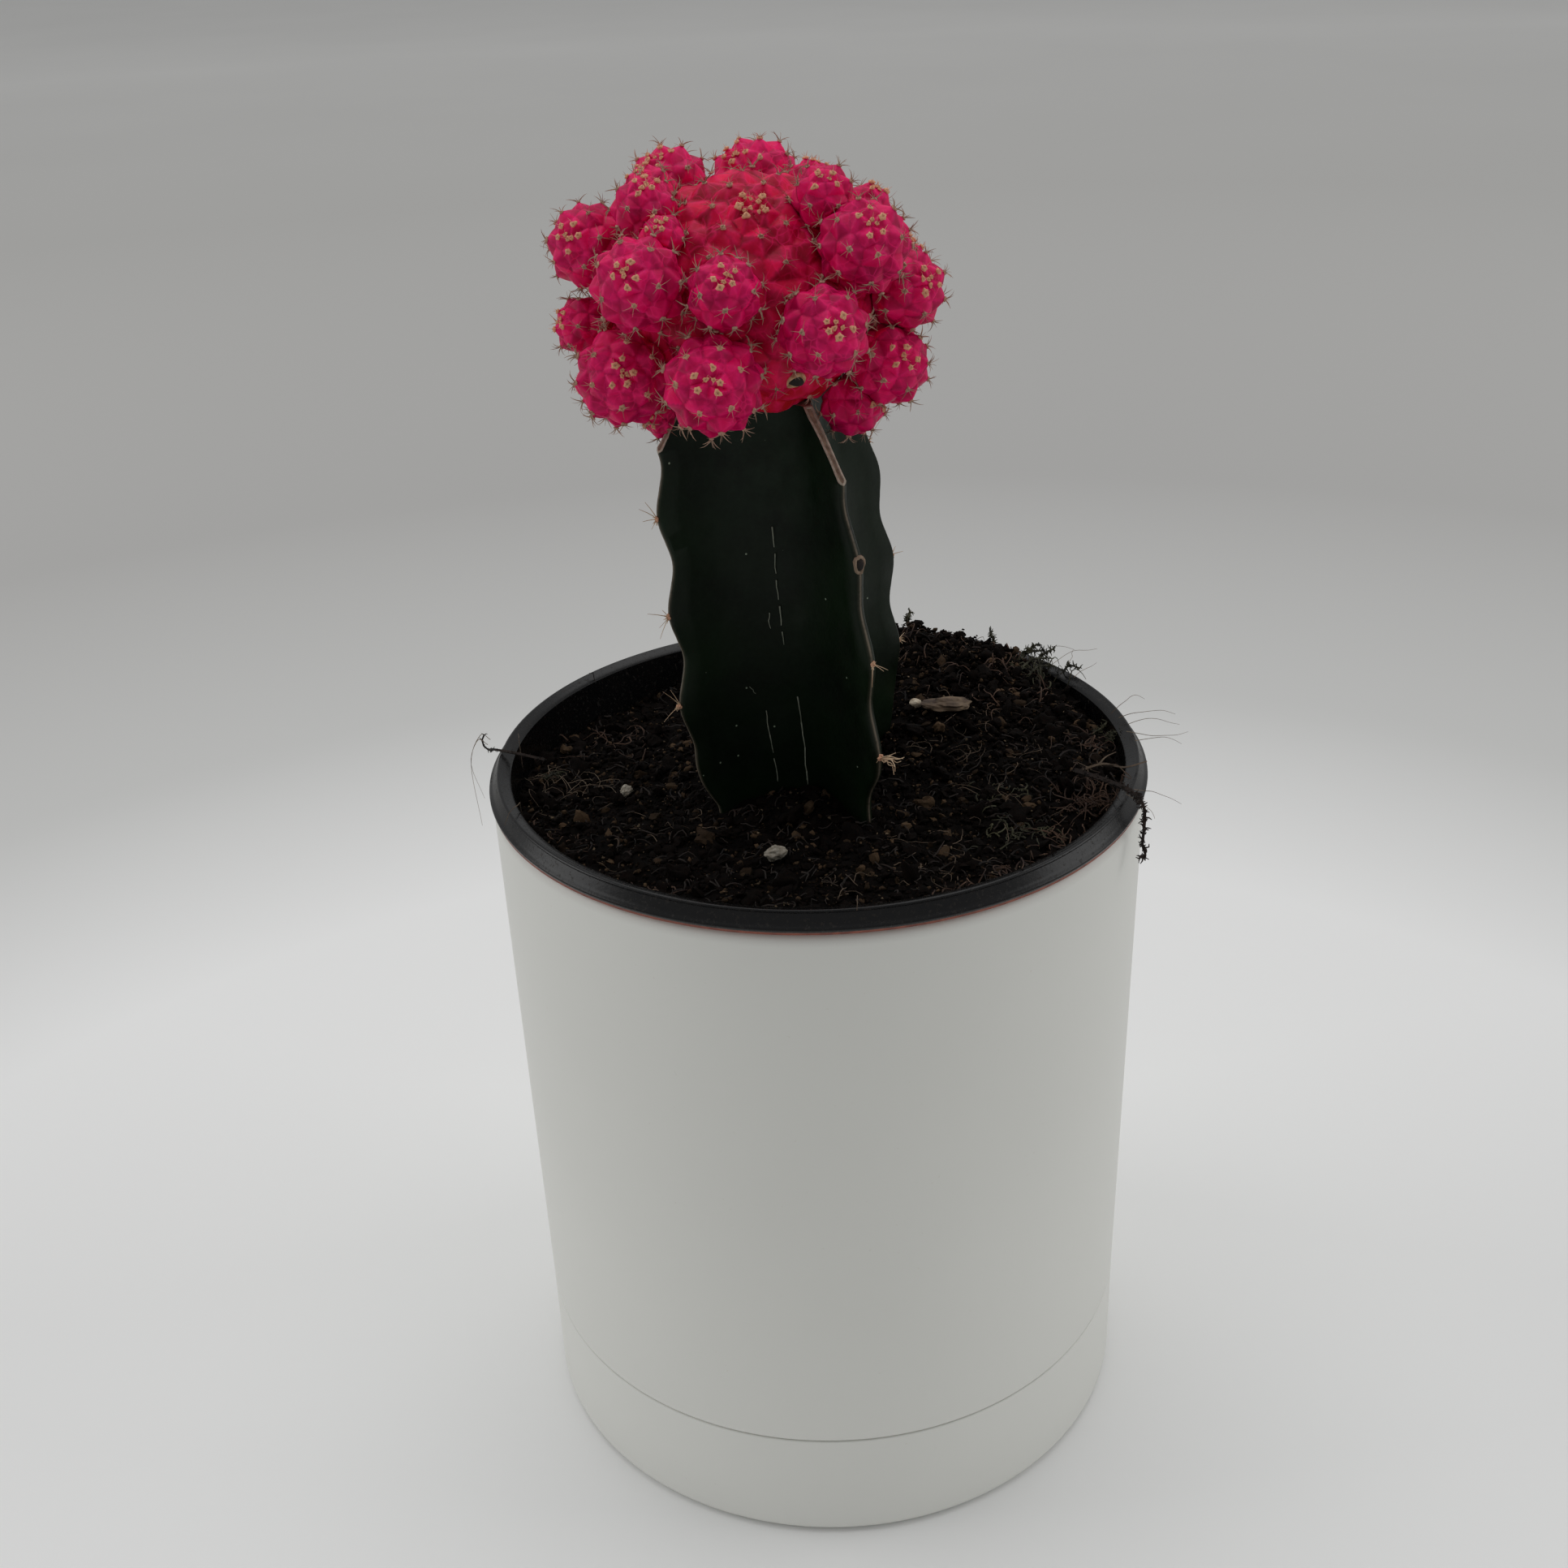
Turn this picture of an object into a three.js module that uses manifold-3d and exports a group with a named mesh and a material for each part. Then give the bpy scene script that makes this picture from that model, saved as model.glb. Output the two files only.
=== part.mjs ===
// A potted moon cactus: a round scion covered in offsets, grafted on a stock with four thin ribs.
// It is planted in peat, in a nursery pot that hangs by its rim in a white planter with a saucer.
// Millimetres, Z up. The planter stands on z = 0 with its axis on Z, and -Y is its front.
import * as THREE from 'three';
import { mergeVertices } from 'three/addons/utils/BufferGeometryUtils.js';
import Module from 'manifold-3d';

const wasm = await Module();
wasm.setup();

const touchGap = 0.3; // left between two pieces that touch
const roundSides = 48; // sides of a turned piece
const drainSides = 12;
const weldDistance = 0.001; // corners closer than this are one corner
const up = new THREE.Vector3(0, 0, 1);

const saucer = { radius: 59.5, height: 24, wall: 2.4, floor: 3, footRound: 2.5 };

const planter = {
  height: 136,
  topRadius: 60.6,
  wall: 2.4,
  lipRound: 1.8,
  floor: 2.4,
  skirtDepth: 12,
  skirtWall: 2,
  skirtClearance: 0.4,
  drainRadius: 4,
  drainCircle: 34,
  drainCount: 6,
};

const nurseryPot = {
  wall: 0.9,
  fitInPlanter: 0.3, // clearance of its neck in the planter's mouth
  rimHeight: 3.9,
  rimOverhang: 0.3, // of the rim past the planter's side
  rimDraft: 1.4, // how much narrower the rim is at its top
  clearBelow: 8.5, // from the planter's floor to the pot's
  baseRadius: 44,
  drainRadius: 4,
  drainCircle: 30,
  drainCount: 6,
};

const soil = {
  dropBelowRim: 6.6, // of the level surface
  rings: 9,
  // mounds and dips: place, height and spread
  swells: [
    { x: 33, y: 37, height: 8, spread: 18 },
    { x: 14, y: 50, height: 4.2, spread: 11 },
    { x: 49, y: -4, height: 3.6, spread: 13 },
    { x: -34, y: 26, height: -4.6, spread: 19 },
    { x: -6, y: -50, height: 1.2, spread: 12 },
  ],
};

const stock = {
  x: -2, // where its axis crosses the rim's top
  y: 0.3,
  lean: -0.055, // of its axis along X, per millimetre of height
  heightAboveRim: 67.8,
  buriedDepth: 38, // below the pot's rim
  valleyReach: 8, // from the axis to the hollow between two ribs
  edgeWidth: 1.8,
  ringSpacing: 4.4,
  hollowSteps: 8, // of the curve between two ribs
  footShare: 0.6, // of a rib's reach at the buried end
  soilShare: 0.82, // of a rib's reach where it leaves the soil
  fullAbove: 6, // height over the rim where the ribs reach their widest
  narrowAbove: 26, // height over the rim where they begin to narrow to the top
  scallopPitch: 17.5,
  scallopDepth: 1,
  // Each rib's chamfer starts at a distance from the axis, then runs outwards and drops.
  ribs: [
    {
      turn: 44,
      reach: 25.3,
      topReach: 21.3,
      chamfer: { from: 16.5, run: 7.5, drop: 16 },
      scallopShift: 13,
    },
    {
      turn: 130,
      reach: 25,
      topReach: 22,
      chamfer: { from: 15, run: 8.5, drop: 9 },
      scallopShift: 5,
    },
    {
      turn: 215,
      reach: 24.3,
      topReach: 24,
      chamfer: { from: 18.7, run: 5.4, drop: 7.2 },
      scallopShift: 15.4,
    },
    {
      turn: 299,
      reach: 26.3,
      topReach: 21.5,
      chamfer: { from: 12.5, run: 10.8, drop: 11.5 },
      scallopShift: 9,
    },
  ],
};

// The scion's first globe sits on the stock's cut top, a little off the stock's axis.
const mother = { x: -8.6, y: -3, radius: 21, halfHeight: 19.3, seatCut: 2.7, faceting: 4 };

// Each offset grows from the mother at an azimuth and an elevation, in degrees. standoff moves one out
// where it grows past its neighbours.
const offsetSink = 1.9; // of an offset's globe into the mother's
const offsetFaceting = 2;
const offsets = [
  { azimuth: 131, elevation: 37, radius: 6.5, standoff: 0 },
  { azimuth: 87, elevation: 30, radius: 7.8, standoff: 0 },
  { azimuth: 49, elevation: 44, radius: 3.8, standoff: 0 },
  { azimuth: -38, elevation: 47, radius: 4.8, standoff: 0 },
  { azimuth: -1, elevation: 34, radius: 3.9, standoff: 1 },
  { azimuth: -40, elevation: 23, radius: 7, standoff: 0 },
  { azimuth: 2, elevation: 21, radius: 3.7, standoff: 1.5 },
  { azimuth: -9, elevation: 2, radius: 6.4, standoff: 0 },
  { azimuth: -63, elevation: -2, radius: 6.8, standoff: 0 },
  { azimuth: -15, elevation: -25, radius: 6.6, standoff: 0 },
  { azimuth: -18, elevation: -45, radius: 5.3, standoff: 0.8 },
  { azimuth: -98, elevation: 13, radius: 5.5, standoff: 0 },
  { azimuth: -103, elevation: -18, radius: 7.6, standoff: 0 },
  { azimuth: -131, elevation: 14, radius: 7.1, standoff: 0 },
  { azimuth: -147, elevation: -21, radius: 7.5, standoff: 0 },
  { azimuth: -178, elevation: 19, radius: 6.6, standoff: 1.6 },
  { azimuth: -153, elevation: 41, radius: 5.1, standoff: 0 },
  { azimuth: -134, elevation: 33, radius: 3.6, standoff: 0 },
  { azimuth: -172, elevation: -7, radius: 4.7, standoff: 4 },
  { azimuth: -157, elevation: -48, radius: 3, standoff: 3.8 },
  { azimuth: -166, elevation: -28, radius: 4.4, standoff: 5 },
  { azimuth: 151, elevation: 8, radius: 6.5, standoff: 0 },
  { azimuth: 119, elevation: 5, radius: 6.9, standoff: 0 },
  { azimuth: 84, elevation: -3, radius: 7.1, standoff: 0 },
  { azimuth: 51, elevation: 11, radius: 6.6, standoff: 0 },
  { azimuth: 22, elevation: 3, radius: 6.1, standoff: 0 },
  { azimuth: 21, elevation: -27, radius: 6.2, standoff: 0 },
  { azimuth: 55, elevation: -23, radius: 6.6, standoff: 0 },
  { azimuth: 91, elevation: -31, radius: 6.3, standoff: 0 },
  { azimuth: 124, elevation: -25, radius: 6.8, standoff: 0 },
  { azimuth: 158, elevation: -21, radius: 6.2, standoff: 0 },
  { azimuth: 172, elevation: 46, radius: 4.4, standoff: 0 },
];

// Loose bits that lie on the soil: place, half sizes along their own axes, and turn.
const bitFaceting = 1;
const bits = {
  perlite_grain_front: { x: -7.8, y: -32, half: [1.7, 1.3, 1.2], turn: 20 },
  perlite_grain_left: { x: -36, y: -3, half: [1.3, 1.1, 1], turn: 70 },
  bark_chip: { x: 25.5, y: 18.5, half: [4.3, 2.2, 0.9], turn: -8 },
  pebble: { x: 19.8, y: 20.5, half: [1.1, 0.9, 0.8], turn: 0 },
};

// Strands of coir and moss that lie over the rim: radius, and points as azimuth, distance out from the
// axis past the rim's inner edge, and height over the rim's top.
const strandSides = 6;
const strands = {
  moss_strand_right: {
    radius: 0.8,
    steps: 10,
    points: [
      { azimuth: -20, out: -8, over: 0.9 },
      { azimuth: -23, out: -2, over: 1.2 },
      { azimuth: -25, out: 3, over: 0.9 },
      { azimuth: -26, out: 5.9, over: -1.4 },
      { azimuth: -27, out: 6.3, over: -8 },
    ],
  },
  twig_right: {
    radius: 0.6,
    steps: 6,
    points: [
      { azimuth: -18, out: -7, over: 2 },
      { azimuth: -15, out: 0, over: 1.4 },
      { azimuth: -13, out: 4, over: 0.8 },
    ],
  },
  root_strand_left: {
    radius: 0.5,
    steps: 8,
    points: [
      { azimuth: -179, out: -6, over: 0.7 },
      { azimuth: 180, out: 0, over: 0.8 },
      { azimuth: 178, out: 4.2, over: 0.6 },
      { azimuth: 175, out: 6.2, over: -0.8 },
    ],
  },
};

const finishes = {
  planterWhite: { color: '#e6e6e0', roughness: 0.5 },
  nurseryBlack: { color: '#17171a', roughness: 0.35 },
  peat: { color: '#1d1310', roughness: 1 },
  stockGreen: { color: '#16241a', roughness: 0.45 },
  motherRed: { color: '#a8082c', roughness: 0.4 },
  offsetPink: { color: '#cf1470', roughness: 0.4 },
  perlite: { color: '#cfc8b6', roughness: 0.9 },
  bark: { color: '#6a4a35', roughness: 0.9 },
  fibre: { color: '#3a2a1c', roughness: 0.9 },
};

// Heights that follow from the sizes above.
const seamHeight = saucer.height + touchGap;
const planterFloorTop = seamHeight + planter.floor;
const rimBottom = planter.height + touchGap;
const rimTop = rimBottom + nurseryPot.rimHeight;
const neckRadius = planter.topRadius - planter.wall - nurseryPot.fitInPlanter;
const rimRadius = planter.topRadius + nurseryPot.rimOverhang;
const mouthRadius = neckRadius - nurseryPot.wall;
const potBottom = planterFloorTop + nurseryPot.clearBelow;
const potInnerBase = nurseryPot.baseRadius - nurseryPot.wall;
const soilLevel = rimTop - soil.dropBelowRim;
const stockTop = rimTop + stock.heightAboveRim;
const stockFoot = rimTop - stock.buriedDepth;
const motherHeight = stockTop + touchGap - mother.seatCut + mother.halfHeight;

const radians = THREE.MathUtils.degToRad;

// The direction at an azimuth and an elevation, in degrees.
function direction(azimuth, elevation) {
  const flat = Math.cos(radians(elevation));
  return new THREE.Vector3(
    flat * Math.cos(radians(azimuth)),
    flat * Math.sin(radians(azimuth)),
    Math.sin(radians(elevation)),
  );
}

// Solids

function solidOf(geometry) {
  const bare = geometry.clone();
  bare.deleteAttribute('normal');
  bare.deleteAttribute('uv');
  const merged = mergeVertices(bare, weldDistance);
  return new wasm.Manifold(
    new wasm.Mesh({
      numProp: 3,
      vertProperties: merged.attributes.position.array,
      triVerts: new Uint32Array(merged.index.array),
    }),
  );
}

function geometryOf(solid) {
  const mesh = solid.getMesh();
  const geometry = new THREE.BufferGeometry();
  geometry.setAttribute('position', new THREE.BufferAttribute(mesh.vertProperties, 3));
  geometry.setIndex(new THREE.BufferAttribute(mesh.triVerts, 1));
  return geometry.toNonIndexed();
}

function biggestPiece(solid) {
  const pieces = solid.decompose();
  return pieces.reduce((best, piece) => (piece.volume() > best.volume() ? piece : best));
}

// A solid turned about Z from an outline of [radius, height] pairs.
function turned(outline) {
  const points = outline.map(([radius, height]) => new THREE.Vector2(radius, height));
  return new THREE.LatheGeometry(points, roundSides).rotateX(Math.PI / 2);
}

// A quarter round of an outline, between two angles in degrees.
function quarterRound(centreRadius, centreHeight, radius, from, to) {
  const steps = 3;
  return Array.from({ length: steps + 1 }, (_, i) => {
    const angle = radians(from + ((to - from) * i) / steps);
    return [centreRadius + radius * Math.cos(angle), centreHeight + radius * Math.sin(angle)];
  });
}

// A hole in the middle of a floor and a ring of holes round it, through a floor of that thickness.
function withDrainHoles(geometry, { drainRadius, drainCircle, drainCount }, floorBottom, floor) {
  const length = 3 * floor;
  const drain = new THREE.CylinderGeometry(drainRadius, drainRadius, length, drainSides);
  drain.rotateX(Math.PI / 2).translate(0, 0, floorBottom + floor / 2);
  let solid = solidOf(geometry).subtract(solidOf(drain));
  for (let i = 0; i < drainCount; i++) {
    const angle = (i * 2 * Math.PI) / drainCount;
    const x = drainCircle * Math.cos(angle);
    const y = drainCircle * Math.sin(angle);
    solid = solid.subtract(solidOf(drain.clone().translate(x, y, 0)));
  }
  return geometryOf(solid);
}

// A block whose bottom face lies on the plane through point, facing along normal.
function blockBeyond(point, normal, size) {
  const block = new THREE.BoxGeometry(size, size, size).translate(0, 0, size / 2);
  const turn = new THREE.Quaternion().setFromUnitVectors(up, normal);
  return solidOf(block.applyQuaternion(turn).translate(point.x, point.y, point.z));
}

// Planter and nursery pot

function saucerGeometry() {
  const { radius, height, wall, floor, footRound } = saucer;
  return turned([
    [0, 0],
    ...quarterRound(radius - footRound, footRound, footRound, -90, 0),
    [radius, height],
    [radius - wall, height],
    [radius - wall, floor],
    [0, floor],
  ]);
}

function planterGeometry() {
  const { height, topRadius, wall, lipRound, floor, skirtDepth, skirtWall, skirtClearance } = planter;
  const skirtRadius = saucer.radius - saucer.wall - skirtClearance;
  const skirtBottom = seamHeight - skirtDepth;
  const shell = turned([
    [0, seamHeight],
    [skirtRadius - skirtWall, seamHeight],
    [skirtRadius - skirtWall, skirtBottom],
    [skirtRadius, skirtBottom],
    [skirtRadius, seamHeight],
    [saucer.radius, seamHeight],
    ...quarterRound(topRadius - lipRound, height - lipRound, lipRound, 0, 90),
    [topRadius - wall, height],
    [saucer.radius - wall, planterFloorTop],
    [0, planterFloorTop],
  ]);
  return withDrainHoles(shell, planter, seamHeight, floor);
}

function nurseryPotGeometry() {
  const { wall, baseRadius, rimDraft } = nurseryPot;
  const pot = turned([
    [0, potBottom],
    [baseRadius, potBottom],
    [neckRadius, rimBottom],
    [rimRadius, rimBottom],
    [rimRadius - rimDraft, rimTop],
    [mouthRadius, rimTop],
    [potInnerBase, potBottom + wall],
    [0, potBottom + wall],
  ]);
  return withDrainHoles(pot, nurseryPot, potBottom, wall);
}

// Soil

// The radius of the nursery pot's inside at a height.
function potInnerRadius(height) {
  const insideBottom = potBottom + nurseryPot.wall;
  const share = (Math.min(height, rimTop) - insideBottom) / (rimTop - insideBottom);
  return THREE.MathUtils.lerp(potInnerBase, mouthRadius, share);
}

function soilHeight(x, y) {
  const swell = ({ x: sx, y: sy, height, spread }) =>
    height * Math.exp(-((x - sx) ** 2 + (y - sy) ** 2) / (2 * spread ** 2));
  return soilLevel + soil.swells.reduce((sum, each) => sum + swell(each), 0);
}

function soilGeometry(stockHole) {
  const bottom = potBottom + nurseryPot.wall + touchGap;
  const topRings = Array.from({ length: soil.rings + 1 }, (_, i) => 1 - i / soil.rings);
  const outline = [
    [0, bottom],
    [potInnerRadius(bottom) - touchGap, bottom],
    ...topRings.map((share) => [share * (mouthRadius - touchGap), soilLevel]),
  ];
  const geometry = turned(outline);
  const position = geometry.getAttribute('position');
  for (let i = 0; i < position.count; i++) {
    if (position.getZ(i) > bottom + 1) {
      const x = position.getX(i);
      const y = position.getY(i);
      const height = soilHeight(x, y);
      const squeeze = (potInnerRadius(height) - touchGap) / (mouthRadius - touchGap);
      position.setXYZ(i, x * squeeze, y * squeeze, height);
    }
  }
  return geometryOf(solidOf(geometry).subtract(stockHole));
}

// Stock

// A rib's reach at a height.
function ribReach(height, { reach, topReach }) {
  const stations = [
    [stockFoot, reach * stock.footShare],
    [soilLevel, reach * stock.soilShare],
    [rimTop + stock.fullAbove, reach],
    [rimTop + stock.narrowAbove, reach],
    [stockTop, topReach],
  ];
  const next = Math.max(1, stations.findIndex(([at]) => height <= at + weldDistance));
  const [[low, lowReach], [high, highReach]] = stations.slice(next - 1, next + 1);
  const share = THREE.MathUtils.smoothstep(height, low, high);
  return THREE.MathUtils.lerp(lowReach, highReach, share);
}

// The stock's outline with each rib at its widest: thin ribs joined by hollow curves.
function stockSection(grow) {
  const { valleyReach, edgeWidth, ribs } = stock;
  const halfEdge = edgeWidth / 2 + grow;
  const at = (turn, along, across) =>
    new THREE.Vector2(along, across).rotateAround(new THREE.Vector2(), radians(turn));
  const shape = new THREE.Shape();
  ribs.forEach((rib, i) => {
    const next = ribs[(i + 1) % ribs.length];
    const gap = (next.turn - rib.turn + 360) % 360;
    const from = at(rib.turn, rib.reach + grow, halfEdge);
    const to = at(next.turn, next.reach + grow, -halfEdge);
    // The curve's pull is set so that its middle passes through the hollow.
    const hollow = at(rib.turn + gap / 2, valleyReach + grow, 0);
    const pull = hollow.multiplyScalar(2).sub(from.clone().add(to).multiplyScalar(0.5));
    const start = at(rib.turn, rib.reach + grow, -halfEdge);
    if (i === 0) shape.moveTo(start.x, start.y);
    else shape.lineTo(start.x, start.y);
    shape.lineTo(from.x, from.y);
    shape.quadraticCurveTo(pull.x, pull.y, to.x, to.y);
  });
  return shape;
}

function nearestRib(x, y) {
  const along = ({ turn }) => x * Math.cos(radians(turn)) + y * Math.sin(radians(turn));
  return stock.ribs.reduce((best, rib) => (along(rib) > along(best) ? rib : best));
}

// The stock, or with grow the hole that clears it by that much all round.
function stockSolid(grow) {
  const { valleyReach, ringSpacing, hollowSteps, scallopPitch, scallopDepth, lean, ribs } = stock;
  const depth = stockTop - stockFoot;
  const steps = Math.round(depth / ringSpacing);
  const body = new THREE.ExtrudeGeometry(stockSection(grow), {
    depth,
    steps,
    bevelEnabled: false,
    curveSegments: hollowSteps,
  });
  body.translate(0, 0, stockFoot);
  const position = body.getAttribute('position');
  for (let i = 0; i < position.count; i++) {
    const [x, y, height] = [position.getX(i), position.getY(i), position.getZ(i)];
    const rib = nearestRib(x, y);
    const edgeShare = THREE.MathUtils.smoothstep(Math.hypot(x, y), valleyReach, rib.reach);
    const wave = Math.cos((2 * Math.PI * (height - rimTop - rib.scallopShift)) / scallopPitch);
    const scallop = height > soilLevel ? scallopDepth * wave : 0;
    const share = (ribReach(height, rib) + edgeShare * scallop) / rib.reach;
    const scale = THREE.MathUtils.lerp(Math.sqrt(Math.min(share, 1)), share, edgeShare);
    const leaned = stock.x + lean * (height - rimTop);
    const atTop = height > stockTop - ringSpacing / 2;
    const atFoot = height < stockFoot + ringSpacing / 2;
    const grown = height + grow * (atTop - atFoot);
    position.setXYZ(i, x * scale + leaned, y * scale + stock.y, grown);
  }

  let solid = solidOf(body);
  const topX = stock.x + lean * stock.heightAboveRim;
  for (const { turn, chamfer } of ribs) {
    const outward = direction(turn, 0);
    const normal = outward.clone().multiplyScalar(chamfer.drop).addScaledVector(up, chamfer.run);
    normal.normalize();
    const start = new THREE.Vector3(topX, stock.y, stockTop).addScaledVector(outward, chamfer.from);
    const blockSize = 4 * (chamfer.from + chamfer.drop);
    solid = solid.subtract(blockBeyond(start.addScaledVector(normal, grow), normal, blockSize));
  }
  return solid;
}

// Scion

// The plane on which globes a and b press on each other: a point of it, and the direction from a to b.
function pressedFace(a, b) {
  const between = b.centre.clone().sub(a.centre);
  const distance = between.length();
  const along = (distance ** 2 + a.radius ** 2 - b.radius ** 2) / (2 * distance);
  const normal = between.normalize();
  const point = a.centre.clone().addScaledVector(normal, along);
  return { point, normal, meets: distance < a.radius + b.radius };
}

function pressBack(solid, globe, neighbours) {
  return neighbours.reduce((rest, neighbour) => {
    const { point, normal, meets } = pressedFace(globe, neighbour);
    if (!meets) return rest;
    point.addScaledVector(normal, -touchGap / 2);
    return rest.subtract(blockBeyond(point, normal, 4 * globe.radius));
  }, solid);
}

function scionMeshes(stockHole) {
  const motherCentre = new THREE.Vector3(mother.x, mother.y, motherHeight);
  // The mother's own globe is a little flattened; an offset meets it on the radius of its direction.
  const motherReach = (elevation) => {
    const outward = direction(0, elevation);
    return Math.hypot(mother.radius * outward.x, mother.halfHeight * outward.z);
  };
  const globes = offsets.map(({ azimuth, elevation, radius, standoff }) => {
    const outward = direction(azimuth, elevation);
    const reach = motherReach(elevation) + radius - offsetSink + standoff;
    return { centre: motherCentre.clone().addScaledVector(outward, reach), radius, elevation };
  });

  const motherBall = new THREE.IcosahedronGeometry(1, mother.faceting);
  motherBall.scale(mother.radius, mother.radius, mother.halfHeight);
  motherBall.translate(motherCentre.x, motherCentre.y, motherCentre.z);
  const seat = new THREE.Vector3(mother.x, mother.y, stockTop + touchGap);
  const belowSeat = blockBeyond(seat, up.clone().negate(), 4 * mother.radius);
  let motherSolid = solidOf(motherBall).subtract(belowSeat);
  for (const globe of globes) {
    const facing = { centre: motherCentre, radius: motherReach(globe.elevation) };
    motherSolid = pressBack(motherSolid, facing, [globe]);
  }
  const meshes = [meshOf('scion_mother', geometryOf(motherSolid), finishes.motherRed)];

  globes.forEach((globe, i) => {
    const ball = new THREE.IcosahedronGeometry(globe.radius, offsetFaceting);
    ball.translate(globe.centre.x, globe.centre.y, globe.centre.z);
    const facing = { centre: motherCentre, radius: motherReach(globe.elevation) };
    const neighbours = [facing, ...globes.filter((other) => other !== globe)];
    const pressed = pressBack(solidOf(ball), globe, neighbours).subtract(stockHole);
    const name = `scion_offset_${String(i + 1).padStart(2, '0')}`;
    meshes.push(meshOf(name, geometryOf(biggestPiece(pressed)), finishes.offsetPink));
  });
  return meshes;
}

// Loose bits and strands

function bitMesh([name, { x, y, half, turn }]) {
  const geometry = new THREE.IcosahedronGeometry(1, bitFaceting);
  geometry.scale(...half).rotateZ(radians(turn));
  const corners = geometry.getAttribute('position');
  // It rests on the highest soil under it.
  let rise = -Infinity;
  for (let i = 0; i < corners.count; i++) {
    const ground = soilHeight(x + corners.getX(i), y + corners.getY(i));
    rise = Math.max(rise, ground - corners.getZ(i));
  }
  geometry.translate(x, y, rise + 2 * touchGap);
  return meshOf(name, geometry, name.startsWith('bark') ? finishes.bark : finishes.perlite);
}

function strandMesh([name, { radius, steps, points }]) {
  const path = new THREE.CatmullRomCurve3(
    points.map(({ azimuth, out, over }) => {
      const along = direction(azimuth, 0).multiplyScalar(mouthRadius + out);
      return along.setZ(rimTop + over + radius);
    }),
  );
  const corners = Array.from({ length: strandSides }, (_, i) => {
    const angle = (i * 2 * Math.PI) / strandSides;
    return new THREE.Vector2(radius * Math.cos(angle), radius * Math.sin(angle));
  });
  const section = new THREE.Shape(corners);
  const sweep = { steps, extrudePath: path, bevelEnabled: false };
  return meshOf(name, new THREE.ExtrudeGeometry(section, sweep), finishes.fibre);
}

function meshOf(name, geometry, finish) {
  const material = new THREE.MeshStandardMaterial({ ...finish, metalness: 0 });
  const mesh = new THREE.Mesh(geometry, material);
  mesh.name = name;
  return mesh;
}

// The whole plant

const stockHole = stockSolid(touchGap);
const plant = new THREE.Group();
plant.add(
  meshOf('drip_saucer', saucerGeometry(), finishes.planterWhite),
  meshOf('planter_shell', planterGeometry(), finishes.planterWhite),
  meshOf('nursery_pot', nurseryPotGeometry(), finishes.nurseryBlack),
  meshOf('potting_soil', soilGeometry(stockHole), finishes.peat),
  meshOf('rootstock', geometryOf(stockSolid(0)), finishes.stockGreen),
  ...scionMeshes(stockHole),
  ...Object.entries(bits).map(bitMesh),
  ...Object.entries(strands).map(strandMesh),
);

export default plant;
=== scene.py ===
import math
import random
import bpy
import numpy as np
from mathutils import Matrix, Vector, noise


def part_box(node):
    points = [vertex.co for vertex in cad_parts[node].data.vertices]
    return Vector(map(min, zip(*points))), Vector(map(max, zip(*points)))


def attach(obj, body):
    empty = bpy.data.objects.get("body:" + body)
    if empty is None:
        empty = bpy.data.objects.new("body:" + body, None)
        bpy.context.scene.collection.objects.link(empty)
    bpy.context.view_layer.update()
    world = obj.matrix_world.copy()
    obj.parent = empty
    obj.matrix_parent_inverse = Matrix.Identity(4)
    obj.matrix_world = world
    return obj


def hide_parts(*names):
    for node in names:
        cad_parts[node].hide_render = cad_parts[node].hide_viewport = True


# A moon cactus: a red globe crowded with pink offsets, grafted on a dark four-ribbed stock,
# in a black nursery pot that hangs in a white planter. Sizes here are in millimetres.

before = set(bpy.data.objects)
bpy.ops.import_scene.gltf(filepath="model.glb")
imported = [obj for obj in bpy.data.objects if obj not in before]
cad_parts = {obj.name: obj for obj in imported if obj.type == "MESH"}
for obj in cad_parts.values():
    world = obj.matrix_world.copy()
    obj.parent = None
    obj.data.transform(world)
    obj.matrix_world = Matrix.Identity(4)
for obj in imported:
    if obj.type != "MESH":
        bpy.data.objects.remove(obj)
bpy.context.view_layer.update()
mm = 0.001
print("frame loaded:", len(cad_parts), "nodes")


# The linear colour of an sRGB hex.
def linear(hexColour):
    channels = [int(hexColour[i:i + 2], 16) / 255 for i in (1, 3, 5)]
    return [c / 12.92 if c <= 0.04045 else ((c + 0.055) / 1.055) ** 2.4 for c in channels] + [1]


# Rises smoothly from 0 at low to 1 at high.
def smoothStep(value, low, high):
    share = np.clip((value - low) / (high - low), 0, 1)
    return share * share * (3 - 2 * share)


# Directions, from degrees round and above the level, or from radians down from a pole and round it.
def heading(azimuth, elevation):
    a, e = math.radians(azimuth), math.radians(elevation)
    return np.array([math.cos(a) * math.cos(e), math.sin(a) * math.cos(e), math.sin(e)])


def polarWay(slant, turn):
    return np.array([math.sin(slant) * math.cos(turn), math.sin(slant) * math.sin(turn),
                     math.cos(slant)])


# A level spot, turned round the origin by some degrees.
def turned(x, y, degrees):
    c, s = math.cos(math.radians(degrees)), math.sin(math.radians(degrees))
    return x * c - y * s, x * s + y * c


# The lowest and highest corner of a node's solid, in millimetres.
def boxOf(node):
    low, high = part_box(node)
    return np.array(low) / mm, np.array(high) / mm


def pickOnly(piece):
    bpy.ops.object.select_all(action="DESELECT")
    piece.select_set(True)
    bpy.context.view_layer.objects.active = piece


# The points and triangles of a mesh, in millimetres.
def arraysOf(piece):
    mesh = piece.data
    mesh.calc_loop_triangles()
    points = np.zeros(len(mesh.vertices) * 3)
    mesh.vertices.foreach_get("co", points)
    corners = np.zeros(len(mesh.loop_triangles) * 3, int)
    mesh.loop_triangles.foreach_get("vertices", corners)
    return points.reshape(-1, 3) / mm, corners.reshape(-1, 3)


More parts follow.
